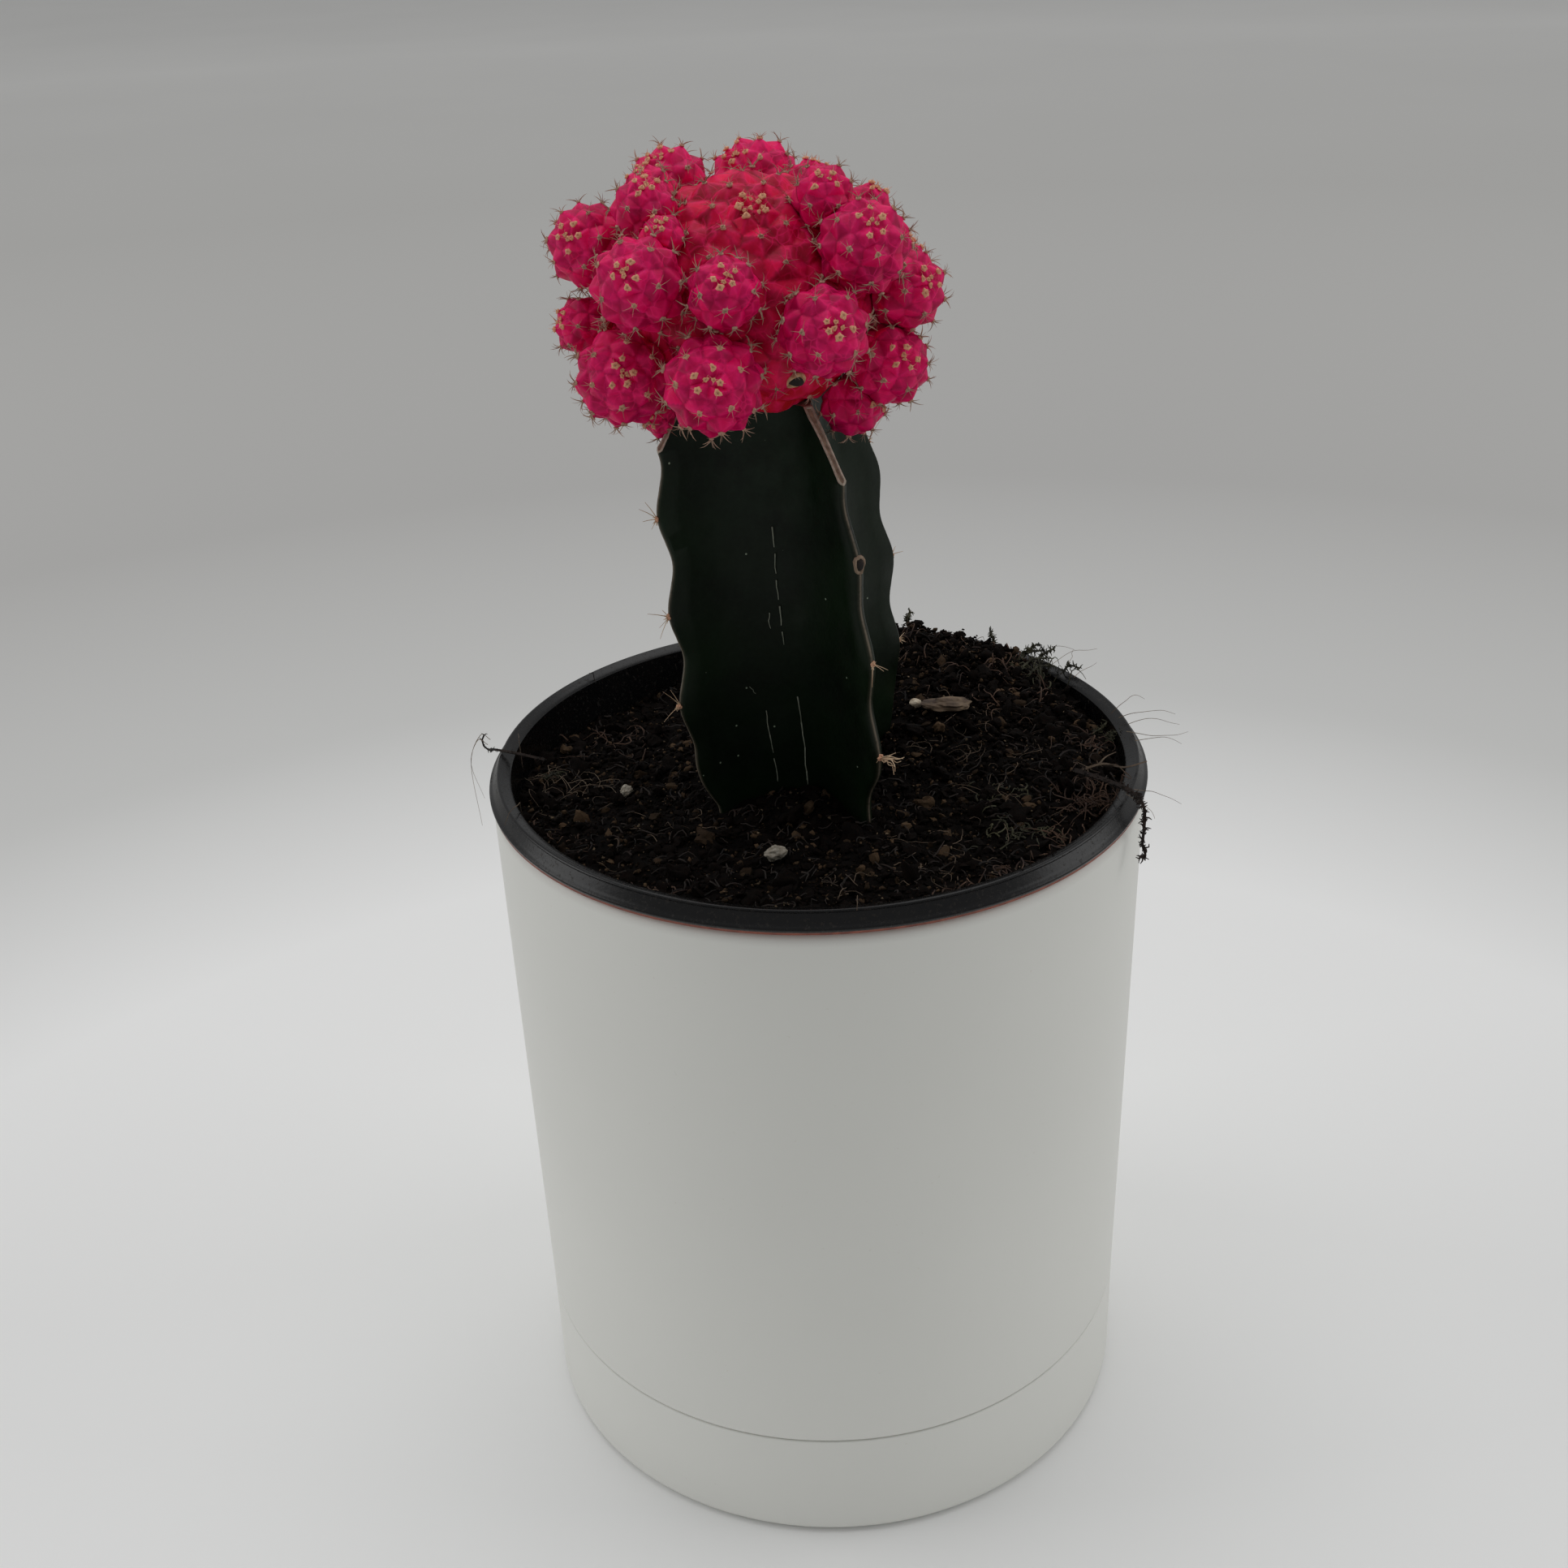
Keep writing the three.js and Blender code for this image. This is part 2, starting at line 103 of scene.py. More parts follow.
def writePoints(piece, points):
    piece.data.vertices.foreach_set("co", (points * mm).astype(np.float32).ravel())
    piece.data.update()


# The points and triangles of a sphere of radius 1.
def modelBall(fine):
    bpy.ops.object.select_all(action="DESELECT")
    bpy.ops.mesh.primitive_ico_sphere_add(subdivisions=fine, radius=mm)
    ball = bpy.context.object
    points, corners = arraysOf(ball)
    bpy.data.objects.remove(ball)
    return points, corners


# A value at each point, for a material to read.
def giveValues(mesh, name, values):
    attribute = mesh.attributes.new(name, "FLOAT", "POINT")
    attribute.data.foreach_set("value", values.astype(np.float32))


# One mesh from chunks of points, triangles, material index and values by name.
def pieceFromChunks(name, chunks, materials):
    counts = [len(chunk["points"]) for chunk in chunks]
    starts = np.cumsum([0] + counts[:-1])
    points = np.concatenate([chunk["points"] for chunk in chunks])
    corners = np.concatenate([chunk["corners"] + start for chunk, start in zip(chunks, starts)])
    slots = np.concatenate([np.full(len(c["corners"]), c.get("slot", 0)) for c in chunks])
    mesh = bpy.data.meshes.new(name)
    mesh.vertices.add(len(points))
    mesh.vertices.foreach_set("co", (points * mm).astype(np.float32).ravel())
    mesh.loops.add(corners.size)
    mesh.loops.foreach_set("vertex_index", corners.ravel().astype(np.int32))
    mesh.polygons.add(len(corners))
    mesh.polygons.foreach_set("loop_start", np.arange(0, corners.size, 3, dtype=np.int32))
    mesh.polygons.foreach_set("material_index", slots.astype(np.int32))
    mesh.update(calc_edges=True)
    names = sorted({key for chunk in chunks for key in chunk.get("values", {})})
    for key in names:
        values = [
            np.broadcast_to(chunk.get("values", {}).get(key, 0.0), count)
            for chunk, count in zip(chunks, counts)
        ]
        giveValues(mesh, key, np.concatenate(values))
    for material in materials:
        mesh.materials.append(material)
    piece = bpy.data.objects.new(name, mesh)
    bpy.context.scene.collection.objects.link(piece)
    return piece


# Hands a finished piece to the frame.
def fit(piece, slot, *nodes):
    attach(piece, "root")
    if nodes:
        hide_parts(*nodes)


def shadeByAngle(piece, degrees):
    pickOnly(piece)
    bpy.ops.object.shade_smooth_by_angle(angle=math.radians(degrees))


# Sets a node's input, or links it to a socket, to a node's first output, or to a node's range:
# (node, from, to) counts from 0 to 1, and two more numbers change that.
def feed(material, node, name, value):
    if isinstance(value, tuple) and isinstance(value[0], (bpy.types.Node, bpy.types.NodeSocket)):
        value = addNode(material, "MapRange", *value)
    if isinstance(value, bpy.types.Node):
        value = value.outputs[0]
    if isinstance(value, bpy.types.NodeSocket):
        material.node_tree.links.new(value, node.inputs[name])
    elif value is not None:
        node.inputs[name].default_value = value


# Adds a node. Values go to its inputs in order, capitalised names to the inputs they name, and the
# other names to its settings.
def addNode(material, kind, *values, **named):
    node = material.node_tree.nodes.new("ShaderNode" + kind)
    inputs = list(enumerate(values))
    for name, value in named.items():
        if name[0].isupper():
            inputs.append((name.replace("_", " "), value))
        else:
            setattr(node, name, value)
    for name, value in inputs:
        feed(material, node, name, value)
    return node


# Starts a material with its shader, and a noise for each name: its size in millimetres, its detail
# and, where it isn't the usual one, its roughness. The place that they read is kept with them.
def startMaterial(name, noises, stretch=(1, 1, 1), **constants):
    material = bpy.data.materials.new(name)
    material.use_nodes = True
    material.node_tree.nodes.clear()
    shader = addNode(material, "BsdfPrincipled", **constants)
    addNode(material, "OutputMaterial", Surface=shader)
    place = addNode(material, "TexCoord").outputs["Object"]
    if stretch != (1, 1, 1):
        place = addNode(material, "Mapping", Vector=place, Scale=stretch).outputs[0]
    made = {"place": place}
    for key, (size, detail, *roughness) in noises.items():
        made[key] = addNode(material, "TexNoise", Vector=place, Scale=1 / (size * mm), Detail=detail,
                            Roughness=roughness[0] if roughness else 0.55)
    return material, shader, made


# Lays colours over a base, each by its share, and bumps one over the other, each with its height's
# node, depth in millimetres and strength.
def finishMaterial(material, shader, base, layers, roughness=None, bumps=()):
    colour = linear(base) if isinstance(base, str) else base
    for share, over, *blend in layers:
        over = linear(over) if isinstance(over, str) else over
        colour = addNode(material, "MixRGB", share, colour, over,
                         blend_type=blend[0] if blend else "MIX")
    normal = None
    for height, depth, strength in bumps:
        normal = addNode(material, "Bump", Height=height, Distance=depth * mm, Strength=strength,
                         Normal=normal)
    feed(material, shader, "Base Color", colour)
    feed(material, shader, "Roughness", roughness)
    feed(material, shader, "Normal", normal)
    return material


# Polypropylene, moulded with a fine satin texture: soft wide highlights, hardly any dust.
def planterPlastic():
    material, shader, noises = startMaterial(
        "moulded_satin_polypropylene_white",
        {"mottle": (40, 1), "dust": (0.9, 4), "gloss": (30, 2), "grain": (0.35, 2)},
        Roughness=0.46, IOR=1.49)
    layers = [((noises["mottle"], 0.3, 0.7), "#e5e5df"), ((noises["dust"], 0.7, 0.8), "#dbd8cf")]
    return finishMaterial(material, shader, "#e7e7e1", layers, (noises["gloss"], 0.3, 0.7, 0.45, 0.48),
                          [(noises["grain"], 0.012, 0.5)])


# Thermoformed polystyrene sheet, black inside: glossy at its folds, with peat dust lying on it.
def nurseryPlastic():
    material, shader, noises = startMaterial(
        "thermoformed_polystyrene_black",
        {"dust": (0.7, 5, 0.7), "smear": (6, 3), "grain": (0.8, 3)}, IOR=1.5, Specular_IOR_Level=0.3)
    dust = addNode(material, "MapRange", noises["dust"], 0.56, 0.72)
    layers = [((noises["smear"], 0.45, 0.7), "#0c0b0b"), (dust, "#241e19")]
    return finishMaterial(material, shader, "#060607", layers, (dust, 0, 1, 0.26, 0.75),
                          [(noises["grain"], 0.03, 0.6)])


# The same sheet's outer skin, terracotta: matt, shows as a thin line at the rim's edge.
def terracottaSkin():
    material, shader, noises = startMaterial(
        "thermoformed_polystyrene_terracotta", {"mottle": (2, 3), "grain": (0.5, 2)},
        Roughness=0.6, IOR=1.55)
    return finishMaterial(material, shader, "#6f3527", [((noises["mottle"], 0.35, 0.65), "#8c4a36")],
                          bumps=[(noises["grain"], 0.02, 0.5)])


# Damp peat: almost black, matt, with brown fibre, dull grains and here and there a pale crumb.
def peat(name, darkest, brown, pale):
    material, shader, noises = startMaterial(
        name, {"grain": (1.1, 5, 0.7), "speck": (0.25, 3), "crumble": (0.45, 5, 0.7)},
        Roughness=0.92, Specular_IOR_Level=0.1)
    tone = addNode(material, "Attribute", attribute_name="tone").outputs["Fac"]
    speckle = addNode(material, "MixRGB", (noises["speck"], 0.4, 0.7), linear("#0c0806"),
                      linear("#6f5c4c"))
    layers = [((noises["grain"], 0.3, 0.72), brown), ((tone, 0.55, 1.0), pale), (0.6, speckle, "OVERLAY")]
    return finishMaterial(material, shader, darkest, layers, bumps=[(noises["crumble"], 0.22, 0.9)])


# Dry plant fibre, coir and root: dull brown strands with paler stretches.
def plantFibre(name, dark, light):
    material, shader, noises = startMaterial(name, {"tone": (4, 4), "grain": (0.3, 3)},
                                             Roughness=0.85)
    return finishMaterial(material, shader, dark, [((noises["tone"], 0.35, 0.65), light)],
                          bumps=[(noises["grain"], 0.05, 0.8)])


# The stock's skin: dark waxy green with a thin bloom near its top, fine pale pores and cork where
# an edge is worn.
def stockSkin():
    material, shader, noises = startMaterial(
        "waxy_cactus_skin_dark_green",
        {"cloud": (14, 4), "bloom": (3, 4), "fine": (0.8, 4), "cork": (0.9, 4), "gloss": (5, 4),
         "grain": (1.6, 5)}, IOR=1.45, Specular_IOR_Level=0.2)
    shares = {}
    for name, span in (("bloom", (0.3, 0.75)), ("cork", (0.2, 0.5, 0.35, 1))):
        amount = addNode(material, "Attribute", attribute_name=name).outputs["Fac"]
        shares[name] = addNode(material, "Math", amount, (noises[name], *span), operation="MULTIPLY")
    pores = addNode(material, "TexVoronoi", Vector=noises["place"], Scale=1 / (4.2 * mm))
    layers = [
        ((noises["cloud"], 0.3, 0.7), "#0d1d0b"),
        (shares["bloom"], "#1a291c"),
        ((noises["fine"], 0.4, 0.75, 0, 0.25), "#19261a"),
        ((pores.outputs["Distance"], 0.035, 0.05, 1.0, 0.0), "#8d9a86"),
        (shares["cork"], "#85796a"),
    ]
    return finishMaterial(material, shader, "#060d05", layers, (noises["gloss"], 0.3, 0.7, 0.34, 0.52),
                          [(noises["grain"], 0.08, 0.6)])


# Healed cork where the stock was cut: dry, tan, finely cracked along the cut.
def healedCork(name, dark, light):
    material, shader, noises = startMaterial(
        name, {"tone": (0.7, 5), "crack": (0.4, 4)}, stretch=(1.0, 1.0, 0.35), Roughness=0.88)
    return finishMaterial(material, shader, dark, [((noises["tone"], 0.3, 0.7), light)],
                          bumps=[(noises["crack"], 0.1, 0.9)])


# A flesh without green in it: satin skin, light passing a little way in, in small plates with paler
# seams, paler on its ridges, with painted shade in the grooves between its warts and, on the offsets,
# a painted highlight that makes the apex paler.
def globeSkin(name, shade, flesh, ridge, low):
    material, shader, noises = startMaterial(
        name, {"mottle": (2.2, 4), "warp": (3, 1, 0.5), "streak": (0.7, 4), "patch": (5, 2),
               "gloss": (1.2, 3), "grain": (0.5, 4)},
        IOR=1.4, Subsurface_Weight=0.18, Subsurface_Scale=1.0,
        Subsurface_Radius=(0.0022, 0.0002, 0.0005), Specular_IOR_Level=0.2)
    values = {key: addNode(material, "Attribute", attribute_name=key).outputs["Fac"]
              for key in ("facet", "groove", "low", "ridge")}
    mottle = addNode(material, "MapRange", noises["mottle"], 0.3, 0.7)
    tone = addNode(material, "Math", values["facet"], (mottle, 0, 1, 0, 0.35), operation="ADD")
    light = addNode(material, "Math", values["ridge"], (noises["streak"], 0.25, 0.6, 0.55, 1),
                    operation="MULTIPLY")
    bent = addNode(material, "VectorMath", noises["warp"].outputs["Color"], [2.2 * mm] * 3,
                   noises["place"], operation="MULTIPLY_ADD")
    plateScale = 1 / (2.3 * mm)
    plates = addNode(material, "TexVoronoi", Vector=bent, Scale=plateScale)
    seams = addNode(material, "TexVoronoi", feature="DISTANCE_TO_EDGE", Vector=bent, Scale=plateScale)
    seamShare = addNode(material, "Math", (seams.outputs["Distance"], 0.0, 0.07, 0.55, 0.0),
                        (noises["patch"], 0.42, 0.62), operation="MULTIPLY")
    layers = [
        # the grooves between warts get painted shade
        ((tone, 0.1, 1.25), flesh), (values["groove"], shade), (values["low"], low), (light, ridge),
        ((plates.outputs["Color"], 0.25, 0.85, 0.0, 0.26), shade), (seamShare, ridge),
    ]
    return finishMaterial(material, shader, shade, layers, (noises["gloss"], 0.3, 0.7, 0.42, 0.55),
                          [(noises["grain"], 0.05, 0.6), (mottle, 0.12, 0.5)])


# Areole wool: a felted pad, cream while young, grey-brown later, darker in the middle.
def areoleWool():
    material, shader, noises = startMaterial(
        "areole_wool", {"fluff": (0.25, 3), "felt": (0.18, 3)},
        Roughness=0.95, Sheen_Weight=0.08, Specular_IOR_Level=0.2)
    age = addNode(material, "Attribute", attribute_name="age").outputs["Fac"]
    middle = addNode(material, "Attribute", attribute_name="middle").outputs["Fac"]
    layers = [(age, "#c4a08a"), (middle, "#84503a"), ((noises["fluff"], 0.3, 0.7, 0.3, 0), "#6b4a38")]
    return finishMaterial(material, shader, "#efb28c", layers, bumps=[(noises["felt"], 0.08, 1.0)])


# Horn: slender dry spines, grey-brown, paler on young growth.
def spineHorn():
    material, shader, noises = startMaterial("spine_horn", {"band": (1.2, 2)}, Roughness=0.6)
    age = addNode(material, "Attribute", attribute_name="age").outputs["Fac"]
    layers = [(age, "#b0937c"), ((noises["band"], 0.35, 0.65, 0, 0.5), "#5d4a3d")]
    return finishMaterial(material, shader, "#eeb490", layers)


# Chalky mineral grain, perlite or grit: pitted and matt, with dirt in its pits.
def mineral(name, light, dark, pit):
    material, shader, noises = startMaterial(name, {"dirt": (0.8, 4), "pit": (pit, 4)},
                                             Roughness=0.9)
    return finishMaterial(material, shader, light, [((noises["dirt"], 0.35, 0.7), dark)],
                          bumps=[(noises["pit"], 0.15, 1.0)])


materials = {
    "planter": planterPlastic(),
    "nursery": nurseryPlastic(),
    "terracotta": terracottaSkin(),
    "peat": peat("damp_peat", "#040302", "#150d08", "#2d2219"),
    "crumb": peat("peat_crumb", "#050302", "#1d120b", "#7d6750"),
    "grit": peat("peat_grit", "#0d0805", "#3d2d20", "#b8a488"),
    "coir": plantFibre("coir_fibre", "#261610", "#5c4434"),
    "root": plantFibre("dry_root", "#33281f", "#6b5a49"),
    "moss": plantFibre("sphagnum_moss", "#1d1d13", "#4a4831"),
    "stock": stockSkin(),
    "cork": healedCork("healed_cork", "#6a5646", "#a08b76"),
    "scarCork": healedCork("scar_cork", "#8a5a3c", "#d8b088"),
    "corkEdge": healedCork("healed_cork_edge", "#8b7c6d", "#bdb0a0"),
    "mother": globeSkin("moon_cactus_flesh_red", "#84001c", "#f2004c", "#ff2474", "#b8120e"),
    "offset": globeSkin("moon_cactus_flesh_pink", "#96003a", "#fe0064", "#ff267c", "#9a003c"),
    "wool": areoleWool(),
    "spine": spineHorn(),
    "perlite": mineral("expanded_perlite", "#a8a295", "#6f6657", 0.35),
    "stone": mineral("pale_grit", "#cfc3ae", "#a3937c", 0.5),
    "bark": plantFibre("pine_bark", "#3d2f25", "#7d6a55"),
    "darkFibre": plantFibre("peat_fibre", "#0b0705", "#2a1d15"),
    "hair": plantFibre("fine_root_hair", "#5a4a3c", "#8b7b68"),
    "paleSpine": plantFibre("stock_spine_horn", "#b08e70", "#d9c0a0"),
    "scratch": plantFibre("callus_scratch", "#7d8474", "#b4b8a6"),
}
print("materials made:", len(materials))


turnedSides = 160   # round the pots and the soil


# Grows a circle ring by ring along an outline of radius and height.
def turnedPiece(name, outline):
    radius, height = outline[0]
    bpy.ops.object.select_all(action="DESELECT")
    bpy.ops.mesh.primitive_circle_add(vertices=turnedSides, radius=radius * mm, fill_type="NGON",
                                      location=(0, 0, height * mm))
    piece = bpy.context.object
    piece.name = name
    bpy.ops.object.transform_apply(location=True)
    bpy.ops.object.mode_set(mode="EDIT")
    bpy.ops.mesh.select_all(action="SELECT")
    for nextRadius, nextHeight in outline[1:]:
        rise = (nextHeight - height) * mm
        bpy.ops.mesh.extrude_region_move(TRANSFORM_OT_translate={"value": (0, 0, rise)})
        share = nextRadius / radius
        bpy.ops.transform.resize(value=(share, share, 1), center_override=(0, 0, nextHeight * mm))
        radius, height = nextRadius, nextHeight
    bpy.ops.mesh.select_all(action="SELECT")
    bpy.ops.mesh.normals_make_consistent(inside=False)
    bpy.ops.object.mode_set(mode="OBJECT")
    return piece


# Points of an outline's rounding, from one angle to another.
def arc(radius, height, size, start, end, steps=5):
    turns = [math.radians(start + (end - start) * i / steps) for i in range(steps + 1)]
    return [(radius + size * math.cos(t), height + size * math.sin(t)) for t in turns]


planter = {
    "wall": 2.4,
    "lipRound": 2.2,
    "floor": 2.4,
    "seamRound": 0.35,   # softens both lips of the seam over the saucer
    "footRound": 2.5,
    "footRing": 7,       # width of the ring that the saucer stands on
    "footRecess": 1.1,
    "basinFloor": 3,     # height of the saucer's floor
    "seamGap": 0.3,      # between the saucer and the shell over it
}


# The saucer and the shell over it turn as one outside surface, with a fine seam between them.
def makeSaucer():
    high = boxOf("drip_saucer")[1]
    radius, height, foot, seam = high[0], high[2], planter["footRound"], planter["seamRound"]
    ring, recess = radius - foot - planter["footRing"], planter["footRecess"]
    inner, floor = radius - planter["wall"], planter["basinFloor"]
    piece = turnedPiece("drip_saucer_moulded", [
        (1, recess), (ring - 1.2, recess), (ring - 0.3, recess * 0.4), (ring + 0.4, 0),
        *arc(radius - foot, foot, foot, -90, 0, 8),
        *arc(radius - seam, height - seam, seam, 0, 90, 4),
        (inner + 0.2, height), (inner, height - 0.2), (inner, floor + 1), (inner - 1, floor), (1, floor),
    ])
    shadeByAngle(piece, 40)
    piece.data.materials.append(materials["planter"])
    fit(piece, "planter_white", "drip_saucer")


def makePlanter():
    saucerHigh = boxOf("drip_saucer")[1]
    low, high = boxOf("planter_shell")
    bottom = saucerHigh[2] + planter["seamGap"]
    radius, height, wall = high[0], high[2], planter["wall"]
    lip, seam, foot = planter["lipRound"], planter["seamRound"], saucerHigh[0]
    spigot = foot - wall - 0.4   # the ring that sits in the saucer
    piece = turnedPiece("planter_shell_moulded", [
        (1, bottom), (spigot - 2.6, bottom), (spigot - 2, low[2]), (spigot, low[2]), (spigot, bottom),
        *arc(foot - seam, bottom + seam, seam, -90, 0, 4),
        *[(foot + (radius - foot) * share, bottom + (height - lip - bottom) * share)
          for share in (0.1, 0.25, 0.5, 0.75, 0.9)],
        *arc(radius - lip, height - lip, lip, 0, 90, 8),
        (radius - wall, height), (radius - wall - 0.1, height - 0.3),
        (foot - wall, bottom + planter["floor"] + 1),
        (foot - wall - 1, bottom + planter["floor"]), (1, bottom + planter["floor"]),
    ])
    shadeByAngle(piece, 40)
    piece.data.materials.append(materials["planter"])
    fit(piece, "planter_white", "planter_shell")


nurseryPot = {
    "wall": 0.9,
    "mouth": 57.0,        # radius inside the rim
    "neck": 57.9,         # radius outside, under the rim
    "rimTaper": 1.4,      # how far the rim's top edge is in from its lower one
    "liftOff": 0.3,       # gap between the rim and the planter's lip
    "beadRound": 0.45,
    "lowBead": 0.24,      # how far the rim's lower bead stands out
    "foot": 44.0,         # radius at the bottom
    "kickUp": 1.5,        # height of the base's raised middle
    "lipSlope": 0.7,      # fall of the rim's flat top towards the mouth
    "skinEdge": 0.55,     # height of the terracotta line under the rim
}


def makeNurseryPot():
    low, high = boxOf("nursery_pot")
    rim, top = high[0], high[2]
    bottom = boxOf("planter_shell")[1][2] + nurseryPot["liftOff"]
    topRadius, mouth, neck = rim - nurseryPot["rimTaper"], nurseryPot["mouth"], nurseryPot["neck"]
    bead, lowBead, wall = nurseryPot["beadRound"], nurseryPot["lowBead"], nurseryPot["wall"]
    edge, slope = bottom + nurseryPot["skinEdge"], nurseryPot["lipSlope"]
    foot, kickUp = nurseryPot["foot"], low[2] + nurseryPot["kickUp"]
    piece = turnedPiece("nursery_pot_formed", [
        (1, kickUp), (foot - 10, kickUp), (foot - 9, low[2]), (foot - 0.5, low[2]), (foot, low[2] + 0.6),
        (neck, bottom - 0.4), (neck + 0.3, bottom), (rim - 0.35, bottom), (rim - 0.05, bottom + 0.1),
        (rim, edge), (rim + lowBead * 0.4, edge + 0.12),
        *arc(rim - 0.2, edge + 0.5, 0.2 + lowBead, -40, 40, 4),
        (rim - 0.22, edge + 0.95),
        *[(rim - 0.25 + (topRadius - rim + 0.2) * s, edge + 1 + (top - edge - 1.6) * s)
          for s in (0.3, 0.7, 1)],
        *arc(topRadius - bead + 0.1, top - bead, bead, 20, 130, 6),
        (topRadius - bead - 0.7, top - slope * 0.45), (mouth + 0.35, top - slope),
        (mouth + 0.02, top - slope - 0.35), (mouth - 0.9, top - 8), (foot - 0.6, low[2] + 2),
        (foot - 1.5, kickUp + wall), (1, kickUp + wall),
    ])
    shadeByAngle(piece, 35)
    for material in ("nursery", "terracotta"):
        piece.data.materials.append(materials[material])
    for face in piece.data.polygons:
        centre = face.center / mm
        outward = face.normal.x * centre.x + face.normal.y * centre.y
        under = centre.z < edge + 0.05 and (outward > 0 or face.normal.z < -0.5)
        face.material_index = 1 if under else 0
    fit(piece, "nursery_black", "nursery_pot")


makeSaucer()
makePlanter()
makeNurseryPot()
print("planter, saucer and nursery pot turned")


soil = {
    "dropBelowRim": 6.6,
    "mouth": 56.6,
    "foot": 42.6,
    "ringStep": 1.25,
    "sunk": 0.5,          # of the bed under its crumbs
    "lumps": 1.4,         # height of the soil's own unevenness
    "swells": [           # place, height and spread of each mound and dip
        (33, 37, 8, 18), (14, 50, 4.2, 11), (49, -4, 3.6, 13), (-34, 26, -2.9, 19), (-6, -50, 1.2, 12),
        (-3.5, -13, 3.2, 5.5),
    ],
}
rimTop = boxOf("nursery_pot")[1][2]
soilLevel = rimTop - soil["dropBelowRim"]


# The soil's height at a spot, and what its own lumps add.
def soilHeight(x, y):
    height = soilLevel
    for sx, sy, rise, spread in soil["swells"]:
        height += rise * np.exp(-((x - sx) ** 2 + (y - sy) ** 2) / (2 * spread ** 2))
    return height


def lumpHeight(x, y):
    spot = Vector((x * 0.16, y * 0.16, 3.1))
    return soil["lumps"] * (noise.fractal(spot, 1.0, 2.1, 4) * 0.9)


def makeSoil():
    floor, mouth = boxOf("potting_soil")[0][2], soil["mouth"]
    rings = int(mouth / soil["ringStep"])
    outline = [(1, floor), (soil["foot"], floor), (mouth, soilLevel)]
    outline += [(mouth * (1 - i / rings), soilLevel) for i in range(1, rings)] + [(0.2, soilLevel)]
    piece = turnedPiece("potting_soil_bed", outline)
    points = arraysOf(piece)[0]
    for i in np.nonzero(points[:, 2] > soilLevel - 0.5)[0]:
        x, y = points[i, 0], points[i, 1]
        points[i, 2] = soilHeight(x, y) + lumpHeight(x, y) - soil["sunk"]
    writePoints(piece, points)
    shadeByAngle(piece, 60)
    piece.data.materials.append(materials["peat"])
    fit(piece, "peat", "potting_soil")


makeSoil()
print("soil laid")


stock = {
    "x": -2.0, "y": 0.3, "lean": -0.055,
    "valleyReach": 8,    # from the axis to a face's middle
    "edgeWidth": 1.8,
    "finHalf": 1.0, "finFrom": 12.5,          # half thickness of a fin near the cut, where it widens
    "finsStart": 22, "finsFull": 12,          # under the top
    "footShare": 0.6, "soilShare": 0.82,      # of the full reach
    "fullAbove": 6, "narrowAbove": 26,        # over the rim, where the reach is full
    "scallopPitch": 17.5, "scallopDepth": 0.95,
    "ringStep": 0.8, "valleySteps": 15,
    "corkedRib": 2,      # its foot is corky
    "cutBorder": 0.36, "cutRaise": 0.12,      # green edge round each cut's cork
    "ribs": [            # cut is where the rib's cut starts, how far it runs out and down
        {"turn": 44, "reach": 25.3, "top": 21.3, "cut": (16.5, 7.5, 16), "shift": 13},
        {"turn": 130, "reach": 25, "top": 22, "cut": (15, 8.5, 9), "shift": 5},
        {"turn": 215, "reach": 24.3, "top": 24, "cut": (18.7, 5.4, 7.2), "shift": 15.4},
        {"turn": 299, "reach": 26.3, "top": 21.5, "cut": (12.5, 10.8, 11.5), "shift": 9},
    ],
}
stockLow, stockHigh = boxOf("rootstock")
stockTop, stockFoot = stockHigh[2], stockLow[2]


# How far a rib's edge stands out at a height.
def ribReach(height, rib):
    full = rib["reach"]
    stations = [
        (stockFoot, full * stock["footShare"]), (soilLevel, full * stock["soilShare"]),
        (rimTop + stock["fullAbove"], full), (rimTop + stock["narrowAbove"], full),
        (stockTop, rib["top"]),
    ]
    for (low, lowReach), (high, highReach) in zip(stations, stations[1:]):
        if height <= high + 0.001:
            return lowReach + (highReach - lowReach) * float(smoothStep(height, low, high))
    return rib["top"]


# The stock's outline at full width: columns of x, y, rib, and how near the rib's edge each one is.
def stockColumns():
    columns = []
    half = stock["edgeWidth"] / 2
    ribs = stock["ribs"]
    for i, rib in enumerate(ribs):
        after = ribs[(i + 1) % len(ribs)]
        gap = (after["turn"] - rib["turn"]) % 360
        for across, bulge, edge in ((-1, -0.35, 0), (-0.7, 0.05, 0), (-0.32, 0.27, 0.15), (0, 0.38, 1),
                                    (0.32, 0.27, 0.15), (0.7, 0.05, 0)):
            spot = turned(rib["reach"] + bulge, across * half, rib["turn"])
            columns.append((*spot, i, edge))
        first = np.array(turned(rib["reach"] - 0.25, half, rib["turn"]))
        last = np.array(turned(after["reach"] - 0.25, -half, after["turn"]))
        hollow = np.array(turned(stock["valleyReach"], 0, rib["turn"] + gap / 2))
        pull = 2 * hollow - (first + last) / 2
        for step in range(stock["valleySteps"]):
            share = step / stock["valleySteps"]
            spot = (1 - share) ** 2 * first + 2 * share * (1 - share) * pull + share ** 2 * last
            columns.append((*spot, i if share < 0.5 else (i + 1) % len(ribs), 0))
    return columns


